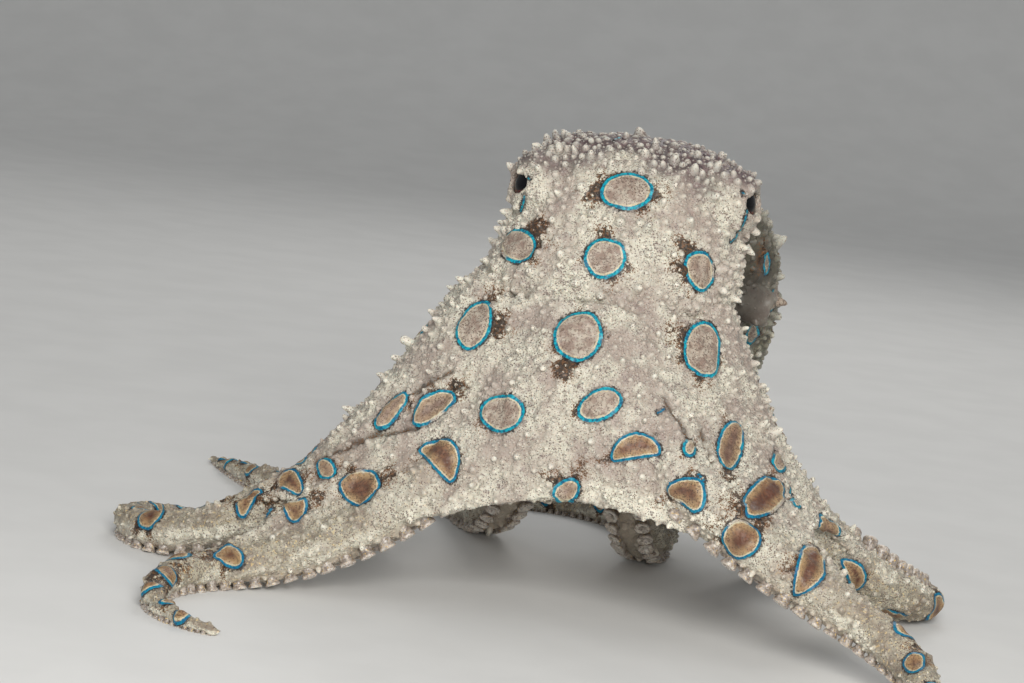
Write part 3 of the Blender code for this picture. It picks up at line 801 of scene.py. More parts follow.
def body_samples():
    """Points all over the forms, each with its part, its place along and round that, and its top side."""
    rows = []
    turns = math.tau * np.arange(SAC_SAMPLES) / SAC_SAMPLES
    shares = np.arange(HEAD_SAMPLES) / HEAD_SAMPLES
    for z, wide, deep, x, y in smooth_rows(HEAD_SECTIONS, HEAD_SAMPLES):
        for point, turn in zip(level_oval((x, y, z), wide, deep, HEAD_SAMPLES), shares):
            rows.append((*point, HEAD, (z - HEAD_LOWEST) / HEAD_TALL, turn, 1.0))
    for s in np.linspace(0.02, 1, 40):
        middle, _, across, up = mantle_frame(s)
        wide, deep = mantle_halves(s)
        for turn in turns:
            point = middle + across * wide * math.cos(turn) + up * deep * math.sin(turn)
            rows.append((*point, MANTLE, s, turn / math.tau, math.sin(turn)))
    for t in np.linspace(0, 1, 12):
        middle = np.array(FUNNEL_ROOT) * (1 - t) + np.array(FUNNEL_END) * t
        for turn in turns[::2]:
            around = np.array((0.2 * math.cos(turn), math.cos(turn), math.sin(turn)))
            point = middle + funnel_radius(t) * around
            rows.append((*point, FUNNEL, t, turn / math.tau, 0.5))
    lengths = np.linspace(0, ARM_LENGTH, ARM_STEPS + 1)
    turns = math.tau * np.arange(ARM_SAMPLES) / ARM_SAMPLES
    for i, name in enumerate(ARMS):
        found = arm_points(name, lengths, turns)
        for length, ring in zip(lengths, found):
            for turn, point in zip(turns, ring):
                rows.append((*point, FIRST_ARM + i, length / ARM_LENGTH, turn / math.tau, math.sin(turn)))
    for i, (_, first, second, reach, belly) in enumerate(WEBS):
        outer, inner = web_faces(first, second, reach, belly, *WEB_SAMPLES)
        for side, sheet in ((1.0, outer), (-1.0, inner)):
            for a, column in enumerate(sheet):
                for d, point in enumerate(column):
                    along, round_ = d / WEB_SAMPLES[1], a / WEB_SAMPLES[0]
                    rows.append((*point, FIRST_WEB + i, along, round_, side))
    return np.array(rows)


forms = [head_form(), mantle_form(), funnel_form()]
forms += [arm_form(name) for name in ARMS]
forms += [web_form(*web[1:]) for web in WEBS]
skin_points, skin_faces, skin_edges = laid_over(forms)
skin_points = drawn_in(skin_points, skin_edges)

samples = body_samples()
tree = KDTree(len(samples))
for i, row in enumerate(samples):
    tree.insert(row[:3], i)
tree.balance()
nearest = np.array([tree.find(point)[1] for point in skin_points])
skin_part = samples[nearest, 3].astype(int)
skin_along = samples[nearest, 4]
skin_round = samples[nearest, 5]
skin_top = samples[nearest, 6]


def evened(values, rounds):
    """Values on the skin after being shared with their neighbours a few times."""
    count = np.maximum(np.bincount(skin_edges.ravel(), minlength=len(values)), 1)
    for _ in range(rounds):
        values = 0.4 * values + 0.6 * neighbour_sums(values, skin_edges) / count
    return values


def share_of(chosen):
    return evened(chosen.astype(float), PART_ROUNDS)


on_arm = share_of((skin_part >= FIRST_ARM) & (skin_part < FIRST_WEB))
on_web = share_of(skin_part >= FIRST_WEB)
on_head = share_of(skin_part == HEAD)
on_mantle = share_of(skin_part == MANTLE)
top_side = share_of(skin_top)

# The rings
# Each ring is a raised oval of skin, edged by a bright blue line of mirror cells with a thin cream line
# inside it, a brown middle and a dark brown border. They cover the head, the mantle, the arms and the webs.

# Rings that the photograph shows: pixel, width and height in pixels, tilt in degrees, how far it is bent
# like a bean, how red brown its middle is, the brown lobes round it as degrees and weights, and a gap
RINGS_SEEN = (
    (627, 191, 50, 36, 0, 0.0, 0.0, ((182, 1.0), (145, 0.7), (0, 0.75), (305, 0.6)), None),
    (605, 258, 40, 38, 0, 0.0, 0.0, ((95, 0.9), (335, 0.5), (180, 0.4), (285, 0.5)), None),
    (578, 336, 46, 48, -25, 0.0, 0.0, ((250, 1.1), (195, 0.55), (15, 0.5), (85, 0.3)), None),
    (517, 245, 34, 30, 25, 0.0, 0.1, ((40, 1.1), (5, 0.9), (320, 0.6)), (185, 45)),
    (475, 325, 30, 50, -28, 0.0, 0.1, ((60, 0.9), (350, 1.1), (15, 0.8)), None),
    (700, 271, 30, 38, 15, 0.0, 0.2, ((165, 1.0), (120, 1.0), (250, 0.5), (215, 0.5)), (5, 26)),
    (703, 350, 36, 56, 5, 0.0, 0.1, ((150, 1.0), (195, 0.6), (260, 0.6), (340, 0.4)), None),
    (502, 413, 42, 36, 0, 0.0, 0.1, ((210, 0.4), (60, 0.25)), None),
    (600, 405, 46, 28, 22, 0.0, 0.1, ((190, 0.5), (260, 0.3)), None),
    (441, 455, 46, 30, -47, 0.85, 0.75, ((180, 0.35), (0, 0.3)), None),
    (635, 447, 49, 25, 8, 0.7, 0.7, ((200, 0.5), (30, 0.4), (275, 0.4)), None),
    (687, 493, 40, 28, -30, 0.6, 0.75, ((200, 0.6), (90, 0.5), (330, 0.4)), (208, 26)),
    (730, 446, 26, 44, -8, 0.0, 0.55, ((255, 0.9), (100, 0.4), (180, 0.3)), None),
    (361, 488, 42, 34, 12, -0.3, 0.85, ((20, 0.9), (120, 0.5), (200, 0.3)), (112, 30)),
    (326, 469, 18, 18, 0, 0.0, 0.4, ((20, 0.4),), None),
    (433, 407, 50, 22, 36, 0.2, 0.4, ((40, 0.8), (180, 0.4), (90, 0.5)), (300, 38)),
    (392, 411, 14, 44, -40, 0.0, 0.4, ((20, 0.6), (100, 0.4)), (150, 40)),
    (368, 400, 18, 40, -32, 0.0, 0.4, ((20, 0.5), (200, 0.4)), None),
    (290, 481, 28, 20, -10, 0.5, 0.85, ((20, 0.8), (200, 0.7)), (180, 48)),
    (295, 510, 25, 20, 0, -0.8, 0.85, ((160, 0.8), (20, 0.7)), (105, 38)),
    (246, 500, 34, 15, 56, 0.4, 0.85, ((20, 0.9), (180, 0.9)), (150, 50)),
    (765, 497, 54, 33, 28, 0.0, 0.8, ((185, 1.0), (250, 0.8), (60, 0.4)), (318, 38)),
    (741, 539, 40, 36, 18, 0.0, 0.8, ((0, 0.5), (180, 0.5)), (98, 36)),
    (827, 529, 23, 21, 0, 0.25, 0.6, ((200, 0.4),), None),
    (812, 564, 30, 36, -12, 0.0, 0.85, ((170, 0.6), (60, 0.8)), (52, 42)),
    (855, 575, 37, 18, -66, 0.7, 0.7, ((0, 0.4),), None),
    (690, 448, 12, 15, 12, 0.0, 0.3, ((45, 0.5), (225, 0.4)), (60, 50)),
    (795, 504, 9, 11, 20, 0.0, 0.3, ((150, 0.5),), None),
    (777, 463, 14, 20, 20, 0.0, 0.3, ((200, 0.3),), (60, 60)),
    (752, 334, 12, 22, 0, 0.0, 0.1, ((0, 0.4),), None),
    (769, 363, 9, 9, 0, 0.0, 0.0, ((0, 0.3),), None),
    (777, 331, 8, 9, 0, 0.0, 0.0, ((0, 0.3),), None),
    (768, 264, 8, 22, 0, 0.0, 0.2, ((120, 1.2), (160, 1.2), (200, 1.0)), None),
)
LOBE_HALF = 24
# Long creases that the photograph shows running down to the left arms, and beside the right ones
CREASES = (
    ((468, 386), (445, 392), (428, 399), (411, 419)),
    ((424, 386), (406, 396), (395, 412), (384, 426), (364, 440), (343, 451), (316, 462)),
    ((418, 428), (398, 432), (376, 434), (352, 443)),
    ((452, 372), (436, 380), (418, 392)),
    ((700, 430), (706, 446), (712, 462)),
    ((664, 398), (674, 414), (684, 432), (694, 452)),
    ((742, 520), (756, 516), (772, 524)),
)
CREASE_DEPTH = 0.28
CREASE_WIDTH = 0.25
# Thin blue strokes, without a middle: below each eye and beside it, by their pixels
BLUE_STROKES = (
    ((747, 211), (746, 216), (744, 222), (741, 229), (737, 236), (732, 242)),
    ((742, 193), (744, 194)),
    ((528, 178), (530, 179)),
    ((525, 196), (524, 203), (522, 211)),
    ((614, 141), (620, 139)),
    ((650, 143), (658, 147)),
    ((658, 413), (661, 411), (664, 409)),
    ((698, 475), (701, 478), (704, 482)),
    ((229, 489), (223, 497), (217, 506)),
    ((272, 508), (268, 513), (265, 518)),
    ((813, 550), (818, 546), (824, 541)),
    ((789, 488), (792, 494), (796, 500)),
)
STROKE_HALF = -0.02
RING_LEAST_VIEW = 0.5
RING_ROOM = 0.9
# A ring this wide isn't set where the skin turns away from it at its edge by more than this
RING_WIDE = 1.4
RING_LEVEL = 0.35
# Parts of the photograph, as boxes of pixels, in which every ring is seen and so none is added
SEEN_WHOLE = ((380, 120, 860, 470), (290, 440, 440, 548), (690, 460, 885, 640))
# Rings elsewhere: on the mantle as shares of its length and turns round it, down each web as shares, and
# at lengths along each arm with turns off its top
MANTLE_RINGS = (
    (0.16, 88, 2.0), (0.3, 62, 2.2), (0.3, 118, 2.2), (0.34, 15, 2.0), (0.34, 165, 2.1), (0.46, 90, 2.3),
    (0.52, 45, 2.1), (0.52, 135, 2.2), (0.55, 0, 1.9), (0.55, 180, 2.0), (0.66, 70, 2.0), (0.66, 112, 2.0),
    (0.72, 25, 1.8), (0.72, 155, 1.8), (0.74, -25, 1.6), (0.74, 205, 1.6), (0.8, 88, 1.8), (0.86, 50, 1.5),
    (0.86, 130, 1.5), (0.88, 0, 1.4), (0.88, 180, 1.4), (0.95, 90, 1.2),
)
WEB_RINGS = ((0.42, 0.5, 2.1), (0.72, 0.3, 1.7), (0.74, 0.72, 1.7), (0.95, 0.5, 1.3))
ARM_RING_LENGTHS = (12.0, 19.0, 26.0, 32.5, 38.5, 44.0, 49.0, 53.5, 57.5, 61.0, 64.0)
ARM_RING_TURN = 30
MANTLE_RED, WEB_RED, ARM_RED = 0.15, 0.4, 0.75
WEB_GRID = 20
RING_SEED = 41

skin_tree = BVHTree.FromPolygons(skin_points.tolist(), skin_faces.tolist(), epsilon=0.0)
skin_out = point_normals(skin_points, skin_faces)
even_out = units(by_axis(lambda axis: evened(axis, OUT_ROUNDS), skin_out))


def sight_hit(x, y):
    """Where the line of sight through a pixel meets the skin, and which face it meets."""
    hit, _, face, _ = skin_tree.ray_cast(Vector(camera_place), Vector(sight_line(x, y)))
    return hit, face


def facing(place):
    """The skin's evened outward direction at the point of it nearest to a place."""
    spot, _, face, _ = skin_tree.find_nearest(Vector(place))
    return np.array(spot), unit(even_out[skin_faces[face]].mean(axis=0))


def seen_from_camera(place):
    hit, *_ = skin_tree.ray_cast(Vector(camera_place), Vector(unit(place - camera_place)))
    return hit is not None and np.linalg.norm(np.array(hit) - place) < 1.0


def turned_by(mark, degrees):
    """A mark round a ring, as radians and a second value, turned by some degrees."""
    return (math.radians(mark[0] + degrees), mark[1])


def rings_on_skin():
    """Every ring's middle, outward direction, its own two directions and half sizes, and its marks."""
    rings = []
    for x, y, width, height, tilt, bend, red, lobes, gap in RINGS_SEEN:
        hit, _ = sight_hit(x, y)
        if hit is None:
            continue
        middle, out = facing(hit)
        lean = math.radians(tilt)
        level = unit(np.cross(out, camera_up))
        rising = np.cross(out, level)
        seen_as = np.array([(level @ way, rising @ way) for way in (camera_right, camera_up)])
        turned, shares, basis = np.linalg.svd(seen_as)
        shares = np.maximum(shares, RING_LEAST_VIEW)
        leaned = np.array(((math.cos(lean), math.sin(lean)), (-math.sin(lean), math.cos(lean))))
        u, v = leaned @ turned @ np.diag(shares) @ basis @ np.stack([level, rising])
        scale = ((middle - camera_place) @ camera_ahead) / CAMERA_DISTANCE / PIXELS_PER_MM / 2
        rings.append(dict(middle=middle, out=out, u=u, v=v, a=width * scale, b=height * scale,
                          least=shares[1], bend=bend, red=red, gap=gap and turned_by(gap, -tilt),
                          lobes=[turned_by(lobe, -tilt) for lobe in lobes]))
    return rings + rings_added(rings)


def places_wanted(draw):
    """Places for the rings that the photograph doesn't show, with their radii and how red they are."""
    wanted = []
    for s, turn, radius in MANTLE_RINGS:
        middle, _, across, up = mantle_frame(s)
        wide, deep = mantle_halves(s)
        turn = math.radians(turn)
        place = middle + across * wide * math.cos(turn) + up * deep * math.sin(turn)
        wanted.append((place, radius, MANTLE_RED))
    for _, first, second, reach, belly in WEBS:
        outer, _ = web_faces(first, second, reach, belly, WEB_GRID, WEB_GRID)
        for down, across, radius in WEB_RINGS:
            wanted.append((outer[int(across * WEB_GRID), int(down * WEB_GRID)], radius, WEB_RED))
    for name in ARMS:
        for i, length in enumerate(ARM_RING_LENGTHS):
            turn = math.pi / 2 + math.radians(ARM_RING_TURN) * (1 if i % 2 else -1) * draw.uniform(0.6, 1.4)
            place = arm_points(name, np.array([length]), np.array([turn]))[0, 0]
            radius = (0.35 + 0.52 * float(arm_width(length))) * draw.uniform(0.9, 1.12)
            wanted.append((place, radius, ARM_RED))
    return wanted


def rings_added(rings):
    """The rings set at random where the photograph doesn't show the skin, clear of those already there."""
    draw = np.random.default_rng(RING_SEED)
    added = []
    for place, radius, red in places_wanted(draw):
        middle, out = facing(place)
        x, y = pixel_of(middle)[0]
        known = any(x0 < x < x1 and y0 < y < y1 for x0, y0, x1, y1 in SEEN_WHOLE)
        if known and seen_from_camera(middle):
            continue
        clear = min(np.linalg.norm(middle - ring["middle"]) - max(ring["a"], ring["b"])
                    for ring in rings + added)
        if clear < radius + RING_ROOM:
            continue
        u = unit(np.cross(out, unit(draw.normal(size=3))))
        v = np.cross(out, u)
        lobes = [(draw.uniform(0, math.tau), draw.uniform(0.3, 0.95)) for _ in range(draw.integers(2, 5))]
        edge = [middle + radius * (u * math.cos(a) + v * math.sin(a)) for a in np.linspace(0, math.tau, 9)]
        if radius > RING_WIDE and min(facing(spot)[1] @ out for spot in edge) < RING_LEVEL:
            continue
        added.append(dict(middle=middle, out=out, u=u, v=v, a=radius * draw.uniform(0.95, 1.2),
                          b=radius * draw.uniform(0.75, 1.0), bend=draw.choice([0.0, 0.0, 0.5, 0.9]) * red,
                          least=1.0, red=red * draw.uniform(0.7, 1.2), gap=None, lobes=lobes))
    return added


RING_FAR = 6.0
BEND_MIDDLE = 0.2
GAP_EDGE = 8
MARK_SEED = 53
# How often a ring's line goes in and out on its way round, and by what share
RING_WAVES = ((2, 0.025), (3, 0.02), (5, 0.012))


def turned_off(heading, middle):
    """How far a heading is turned from another one, either way."""
    return np.abs((heading - middle + math.pi) % math.tau - math.pi)


def ring_fields(points, normals, rings):
    """For each point, its distance in mm outside the nearest ring's line, that ring's red, where its line
    is missing, and how strong the brown lobes are."""
    far = np.full(len(points), RING_FAR)
    red = np.zeros(len(points))
    missing = np.zeros(len(points))
    patch = np.zeros(len(points))
    draw = np.random.default_rng(MARK_SEED)
    uneven = 0.55 + 0.6 * step_up(lumps(points, 1.7, 61), -0.5, 0.9)
    for ring in rings:
        waves = draw.uniform(0, math.tau, len(RING_WAVES))
        reach = max(ring["a"], ring["b"])
        away = points - ring["middle"]
        near = np.linalg.norm(away, axis=1) < reach / ring["least"] * 1.4 + 3.5
        near &= normals @ ring["out"] > -0.5
        away = away[near]
        flat = away - (away @ ring["out"])[:, None] * ring["out"]
        stretch = np.linalg.norm(away, axis=1) / np.maximum(np.linalg.norm(flat, axis=1), 0.05)
        u, v = away @ ring["u"] * stretch, away @ ring["v"] * stretch
        heading = np.arctan2(v, u)
        v = v + ring["bend"] * ((u / ring["a"]) ** 2 - BEND_MIDDLE) * ring["b"]
        turn = np.arctan2(v / ring["b"], u / ring["a"])
        swell = 1
        for (often, share), wave in zip(RING_WAVES, waves):
            swell = swell + share * np.sin(often * turn + wave)
        a, b = ring["a"] * swell, ring["b"] * swell
        rho = np.maximum(np.hypot(u / a, v / b), 1e-3)
        slope_u, slope_v = u / a**2 / rho, v / b**2 / rho
        slope_u = slope_u + slope_v * 2 * ring["bend"] * u / ring["a"] ** 2 * ring["b"]
        steep = np.linalg.norm(slope_u[:, None] * ring["u"] + slope_v[:, None] * ring["v"], axis=1)
        distance = np.clip((rho - 1) / np.maximum(steep, 0.3 / reach), -reach, RING_FAR)
        distance = distance * (1 + 0.35 * min(1.0, 1.6 * ring["red"]) * np.exp(-((distance / 0.6) ** 2)))
        nearer = distance < far[near]
        where = np.flatnonzero(near)[nearer]
        far[where] = distance[nearer]
        red[where] = ring["red"]
        if ring["gap"]:
            middle, half = ring["gap"]
            ends = (-math.radians(half + GAP_EDGE), -math.radians(half - GAP_EDGE))
            missing[where] = step_up(-turned_off(heading, middle), *ends)[nearer]
        else:
            missing[where] = 0
        brown = 0.28 * np.exp(-((np.maximum(distance, 0) / 0.5) ** 2))
        for lobe, weight in ring["lobes"]:
            off = turned_off(heading, lobe) / math.radians(LOBE_HALF)
            out = np.maximum(distance, 0) / (0.8 + 1.2 * weight)
            brown = np.maximum(brown, 1.25 * weight * np.exp(-(off**2) - out**2))
        patch[near] = np.maximum(patch[near], brown * uneven[near] * (distance > -0.3))
    return far, red, missing, patch


rings = rings_on_skin()
ring_distance, ring_red, ring_missing, brown_patch = ring_fields(skin_points, skin_out, rings)


LONGEST_STROKE = 4.0


def along_pixels(pixels):
    """Each point's distance from a line drawn on the skin through some pixels of the photograph."""
    hits = [sight_hit(*pixel)[0] for pixel in pixels]
    hits = [np.array(hit) for hit in hits if hit is not None]
    least = np.full(len(skin_points), RING_FAR)
    for start, end in zip(hits, hits[1:]):
        if np.linalg.norm(end - start) < LONGEST_STROKE:
            way = end - start
            share = np.clip((skin_points - start) @ way / max(1e-6, way @ way), 0, 1)
            away = np.linalg.norm(skin_points - start - share[:, None] * way, axis=1)
            least = np.minimum(least, away)
    return least


for stroke in BLUE_STROKES:
    ring_distance = np.minimum(ring_distance, along_pixels(stroke) - STROKE_HALF)
# The creases are pressed into the skin and darkened along it as painted shade, partly as brown flecks here
crease = np.zeros(len(skin_points))
for pixels in CREASES:
    crease = np.maximum(crease, np.exp(-((along_pixels(pixels) / CREASE_WIDTH) ** 2)))
crease *= step_up(ring_distance, -0.1, 0.4)
brown_patch = np.maximum(brown_patch, 0.4 * crease)
ring_marks = np.stack([ring_red, ring_missing, brown_patch], axis=1)

# Relief that is too large for a bump: crinkles, soft folds down the webs, and the rings' raised middles
LUMP_HEIGHT = 0.10
CRINKLE_HEIGHT = 0.05
FOLD_HEIGHT = 0.16
WEB_FOLDS = 3.5
LID_RIPPLE = 0.07
LID_RIPPLE_WIDTH = 1.1
FUNNEL_HOLLOW = (13.0, 12.0, 31.5)
FUNNEL_HOLLOW_REACH = 5.2
RING_RISE = 0.14
SKIN_LOWEST = 0.02
eye_near = [np.linalg.norm(skin_points - np.array(place), axis=1) for place in EYE_PLACES.values()]
eye_near = np.min(eye_near, axis=0)
calm = step_up(eye_near, EYE_RADIUS + 0.5, EYE_RADIUS + 2.0)
funnel_near = np.linalg.norm((skin_points - np.array(FUNNEL_HOLLOW)) * (1, 1, 0.6), axis=1)
relief = LUMP_HEIGHT * lumps(skin_points, 3.2, 3) + CRINKLE_HEIGHT * lumps(skin_points, 1.3, 5)
fold = np.sin(skin_round * math.tau * WEB_FOLDS + lumps(skin_points, 9.0, 7))
relief += FOLD_HEIGHT * on_web * fold * step_up(skin_along, 0.1, 0.5)
eye_out = eye_near - EYE_RADIUS
relief += LID_RIPPLE * np.cos(eye_out * math.tau / LID_RIPPLE_WIDTH) * np.exp(-(((eye_out - 1.2) / 1.3) ** 2))
relief *= 0.3 + 0.7 * calm
sheet_side = 1 - on_web + on_web * np.clip(top_side * 1.6, -1, 1)
relief = relief * sheet_side + RING_RISE * step_up(-ring_distance, -0.5, 0.6) * np.clip(top_side + 1, 0, 1)
relief -= CREASE_DEPTH * crease
skin_points = skin_points + skin_out * relief[:, None]
skin_points[:, 2] = np.maximum(skin_points[:, 2], SKIN_LOWEST)

# Colour zones: mauve on the head's top, olive on the lower arms and the mantle, cream on lower edges and
# pale under the arms, and painted shade in the fold beside the funnel and along the creases
HEAD_MAUVE_FROM_TO = (41.7, 44.9)
MANTLE_MAUVE_FROM_TO = (33, 42)
OLIVE_FROM_TO = (-17.0, -4.0)
patchy = lumps(skin_points, 5.5, 13)
tall = skin_points[:, 2]
mauve = on_head * step_up(tall + 0.7 * patchy, *HEAD_MAUVE_FROM_TO)
mauve = np.maximum(mauve, 0.55 * on_mantle * step_up(tall, *MANTLE_MAUVE_FROM_TO))
olive = (on_arm + 0.5 * on_web) * step_up(-tall + 1.5 * patchy, *OLIVE_FROM_TO)
olive = np.maximum(olive, 0.75 * on_mantle * step_up(0.4 + 0.3 * patchy - tall * 0.02, 0.0, 0.5))
under = on_arm * step_up(-top_side, 0.35, 0.8) + on_web * step_up(-top_side, 0.0, 0.6)
cream = on_arm * step_up(-np.abs(top_side + 0.25) + 0.2 * patchy, -0.5, -0.1)
cream = np.clip(np.maximum(cream, on_web * step_up(skin_along + 0.08 * patchy, 0.9, 1.0)), 0, 1)
# Painted shade: near black in the hollow beside the funnel and along the creases
shade = np.maximum(np.exp(-((funnel_near / FUNNEL_HOLLOW_REACH) ** 2)), 0.95 * crease)
zones = np.stack([mauve, np.clip(olive, 0, 1), cream], axis=1)
hidden = np.stack([np.clip(under, 0, 1), shade, on_mantle], axis=1)

# Where the papillae stand: large, medium and fine ones, set at random but clear of each other, and those
# that the photograph shows along the outline, each with its pixel, heading, height and radius
PAPILLA_SIZES = (
    # name, how many are tried, room to the next, radii, heights, sides, rows
    ("large", 1700, 2.15, (0.44, 0.68), (0.5, 0.9), 12, 8),
    ("medium", 20000, 0.82, (0.46, 0.72), (0.22, 0.42), 8, 6),
    ("fine", 36000, 0.45, (0.20, 0.32), (0.08, 0.17), 6, 3),
)
PAPILLAE_SEEN = (
    (640, 133, 90, 0.85, 0.85), (626, 139, 70, 0.5, 0.5), (549, 141, 95, 0.8, 0.6),
    (569, 139, 90, 0.6, 0.55), (724, 154, 70, 0.7, 0.45), (534, 150, 120, 0.7, 0.4),
    (655, 150, 90, 0.9, 0.5), (576, 155, 95, 0.7, 0.42), (509, 214, 170, 1.0, 0.6),
    (503, 232, 175, 0.9, 0.55), (487, 262, 160, 0.8, 0.45), (466, 284, 165, 1.0, 0.5),
    (441, 322, 160, 0.8, 0.45), (413, 345, 165, 1.1, 0.7), (398, 360, 165, 0.8, 0.5),
    (382, 377, 165, 0.7, 0.45), (346, 410, 160, 0.9, 0.5), (318, 436, 160, 0.8, 0.45),
    (743, 249, 270, 1.1, 0.5), (681, 271, 180, 0.7, 0.5), (773, 243, 10, 1.3, 0.8),
    (786, 300, 5, 0.9, 0.62), (780, 347, 10, 1.0, 0.65), (771, 388, 330, 1.0, 0.45),
    (748, 326, 0, 1.0, 0.5), (760, 217, 40, 0.8, 0.5), (762, 402, 350, 0.8, 0.45), (771, 434, 10, 1.0, 0.7),
)
SEEN_TILT = 0.9
CROWN_FROM_TO = (44.2, 46.0)
# How many pixels inward the skin is looked for, and how near a ring's line none of these stands
SEEN_BACK = 14
RING_LINE = (-0.5, 0.35)
triangle_corners = np.concatenate([skin_faces[:, :3], skin_faces[:, [0, 2, 3]]])
corner_points = skin_points[triangle_corners]
first_side, second_side = (corner_points[:, k] - corner_points[:, 0] for k in (1, 2))
triangle_area = np.linalg.norm(np.cross(first_side, second_side), axis=1) / 2


def cell_of(spot, room):
    return (math.floor(spot[0] / room), math.floor(spot[1] / room), math.floor(spot[2] / room))


def apart(spot, other):
    """The square of the distance between two spots."""
    return (spot[0] - other[0]) ** 2 + (spot[1] - other[1]) ** 2 + (spot[2] - other[2]) ** 2


def skin_spots(count, room, seed, weight, taken_spots):
    """Random spots on the skin that keep clear of each other: their points and the nearest corners."""
    draw = np.random.default_rng(seed)
    chance = triangle_area * weight[triangle_corners[:, 0]]
    found = np.searchsorted(np.cumsum(chance) / chance.sum(), draw.uniform(size=count))
    found = np.clip(found, 0, len(triangle_corners) - 1)
    share = draw.dirichlet((1, 1, 1), size=count)
    spots = (corner_points[found] * share[:, :, None]).sum(axis=1)
    corner = triangle_corners[found, np.argmax(share, axis=1)]
    near = [(a, b, c) for a in (-1, 0, 1) for b in (-1, 0, 1) for c in (-1, 0, 1)]
    taken = {}
    for spot in taken_spots.tolist():
        taken.setdefault(cell_of(spot, room), []).append(spot)
    kept = []
    for i, spot in enumerate(spots.tolist()):
        cell = cell_of(spot, room)
        cells = ((cell[0] + a, cell[1] + b, cell[2] + c) for a, b, c in near)
        others = (other for beside in cells for other in taken.get(beside, ()))
        if all(apart(spot, other) >= room * room for other in others):
            taken.setdefault(cell, []).append(spot)
            kept.append(i)
    return spots[kept], corner[kept]


lively = np.clip(1.0 - 0.85 * under - 0.85 * shade, 0.05, 1)
lively = lively * np.clip(0.4 + 0.6 * calm, 0, 1) * (eye_near > EYE_RADIUS + 0.6)
lively = lively * np.clip(0.25 + tall / 3.0, 0, 1)
crown = mauve * step_up(tall, *CROWN_FROM_TO)
PAPILLA_CHANCE = {"large": lively * (1 + 0.8 * mauve + 0.8 * on_mantle - 0.5 * on_arm),
                  "medium": lively * (1 + 0.8 * mauve), "fine": lively * (0.7 + 2.2 * mauve)}
PAPILLA_CLEAR = {"large": 1.25, "medium": 0.62, "fine": 0.38}
PAPILLA_LEAN = 0.14
stands = {}
all_spots = np.zeros((0, 3))
for name, tried, room, radii, heights, sides, rows in PAPILLA_SIZES:
    seed = len(name) * 7
    chance = PAPILLA_CHANCE[name] * (ring_distance > PAPILLA_CLEAR[name])
    spots, corner = skin_spots(tried, room, seed, chance, all_spots)
    draw = np.random.default_rng(seed + 1)
    far_arm = on_arm[corner] * (skin_along[corner] > 0.6)
    keen = 0.8 + 0.25 * on_head[corner] + 0.2 * on_mantle[corner] - 0.3 * far_arm
    radius = draw.uniform(*radii, len(spots)) * keen
    height = draw.uniform(*heights, len(spots)) * keen * (1 + 0.3 * mauve[corner] - 0.85 * crown[corner])
    out = even_out[corner] + draw.normal(size=(len(spots), 3)) * PAPILLA_LEAN
    all_spots = np.concatenate([all_spots, spots])
    stands[name] = dict(spots=spots, corner=corner, radius=radius, height=height, out=out)

skin_tree = BVHTree.FromPolygons(skin_points.tolist(), skin_faces.tolist(), epsilon=0.0)
seen = dict(spots=[], corner=[], radius=[], height=[], out=[])
for x, y, heading, height, radius in PAPILLAE_SEEN:
    lean = math.radians(heading)
    for back in range(SEEN_BACK):
        hit, face = sight_hit(x - back * math.cos(lean), y + back * math.sin(lean))
        if hit is not None:
            break
    if hit is None:
        continue
    ring = skin_faces[face]
    corner = ring[np.argmin(np.linalg.norm(skin_points[ring] - np.array(hit), axis=1))]
    if RING_LINE[0] < ring_distance[corner] < RING_LINE[1]:
        continue
    heading = camera_right * math.cos(lean) + camera_up * math.sin(lean)
    found = (np.array(hit), corner, radius, height, unit(even_out[corner]) + SEEN_TILT * heading)
    for key, value in zip(seen, found):
        seen[key].append(value)
for key, values in seen.items():
    stands["large"][key] = np.concatenate([stands["large"][key], np.array(values)])

# The skin swells round each root, so that the papillae grow out of it
SWELL_SHARE = {"large": 0.45, "medium": 0.65}
SWELL_REACH = 1.3
SWELL_LEAST = 0.48
SWELL_LIFT = 0.85
corner_tree = KDTree(len(skin_points))
for i, point in enumerate(skin_points.tolist()):
    corner_tree.insert(point, i)
corner_tree.balance()
swell = np.zeros(len(skin_points))
for name, share in SWELL_SHARE.items():
    stand = stands[name]
    for spot, radius, height in zip(stand["spots"].tolist(), stand["radius"], stand["height"]):
        reach = max(radius * SWELL_REACH, SWELL_LEAST)
        for _, index, away in corner_tree.find_range(spot, reach * 2):
            swell[index] = max(swell[index], share * height * math.exp(-((away / reach) ** 2)))
skin_points = skin_points + even_out * swell[:, None]
skin_out = point_normals(skin_points, skin_faces)
for stand in stands.values():
    stand["out"] = units(stand["out"])
    raised = swell[stand["corner"]] * SWELL_LIFT
    stand["spots"] = stand["spots"] + even_out[stand["corner"]] * raised[:, None]


def open_group(name, inputs, outputs):
    """A node group with named number inputs, of which Place is a vector, and named number outputs."""
    tree = bpy.data.node_groups.new(name, "ShaderNodeTree")
    for way, labels in (("INPUT", inputs), ("OUTPUT", outputs)):
        for label in labels:
            kind = "NodeSocketVector" if label == "Place" else "NodeSocketFloat"
            tree.interface.new_socket(name=label, in_out=way, socket_type=kind)
    given, result = tree.nodes.new("NodeGroupInput"), tree.nodes.new("NodeGroupOutput")
    return tree, Graph(tree), given.outputs, result.inputs


def cells_at(g, place, scale):
    made = g.tree.nodes.new("ShaderNodeTexVoronoi")
    g.put(made.inputs["Vector"], place)
    g.put(made.inputs["Scale"], scale)
    return made.outputs


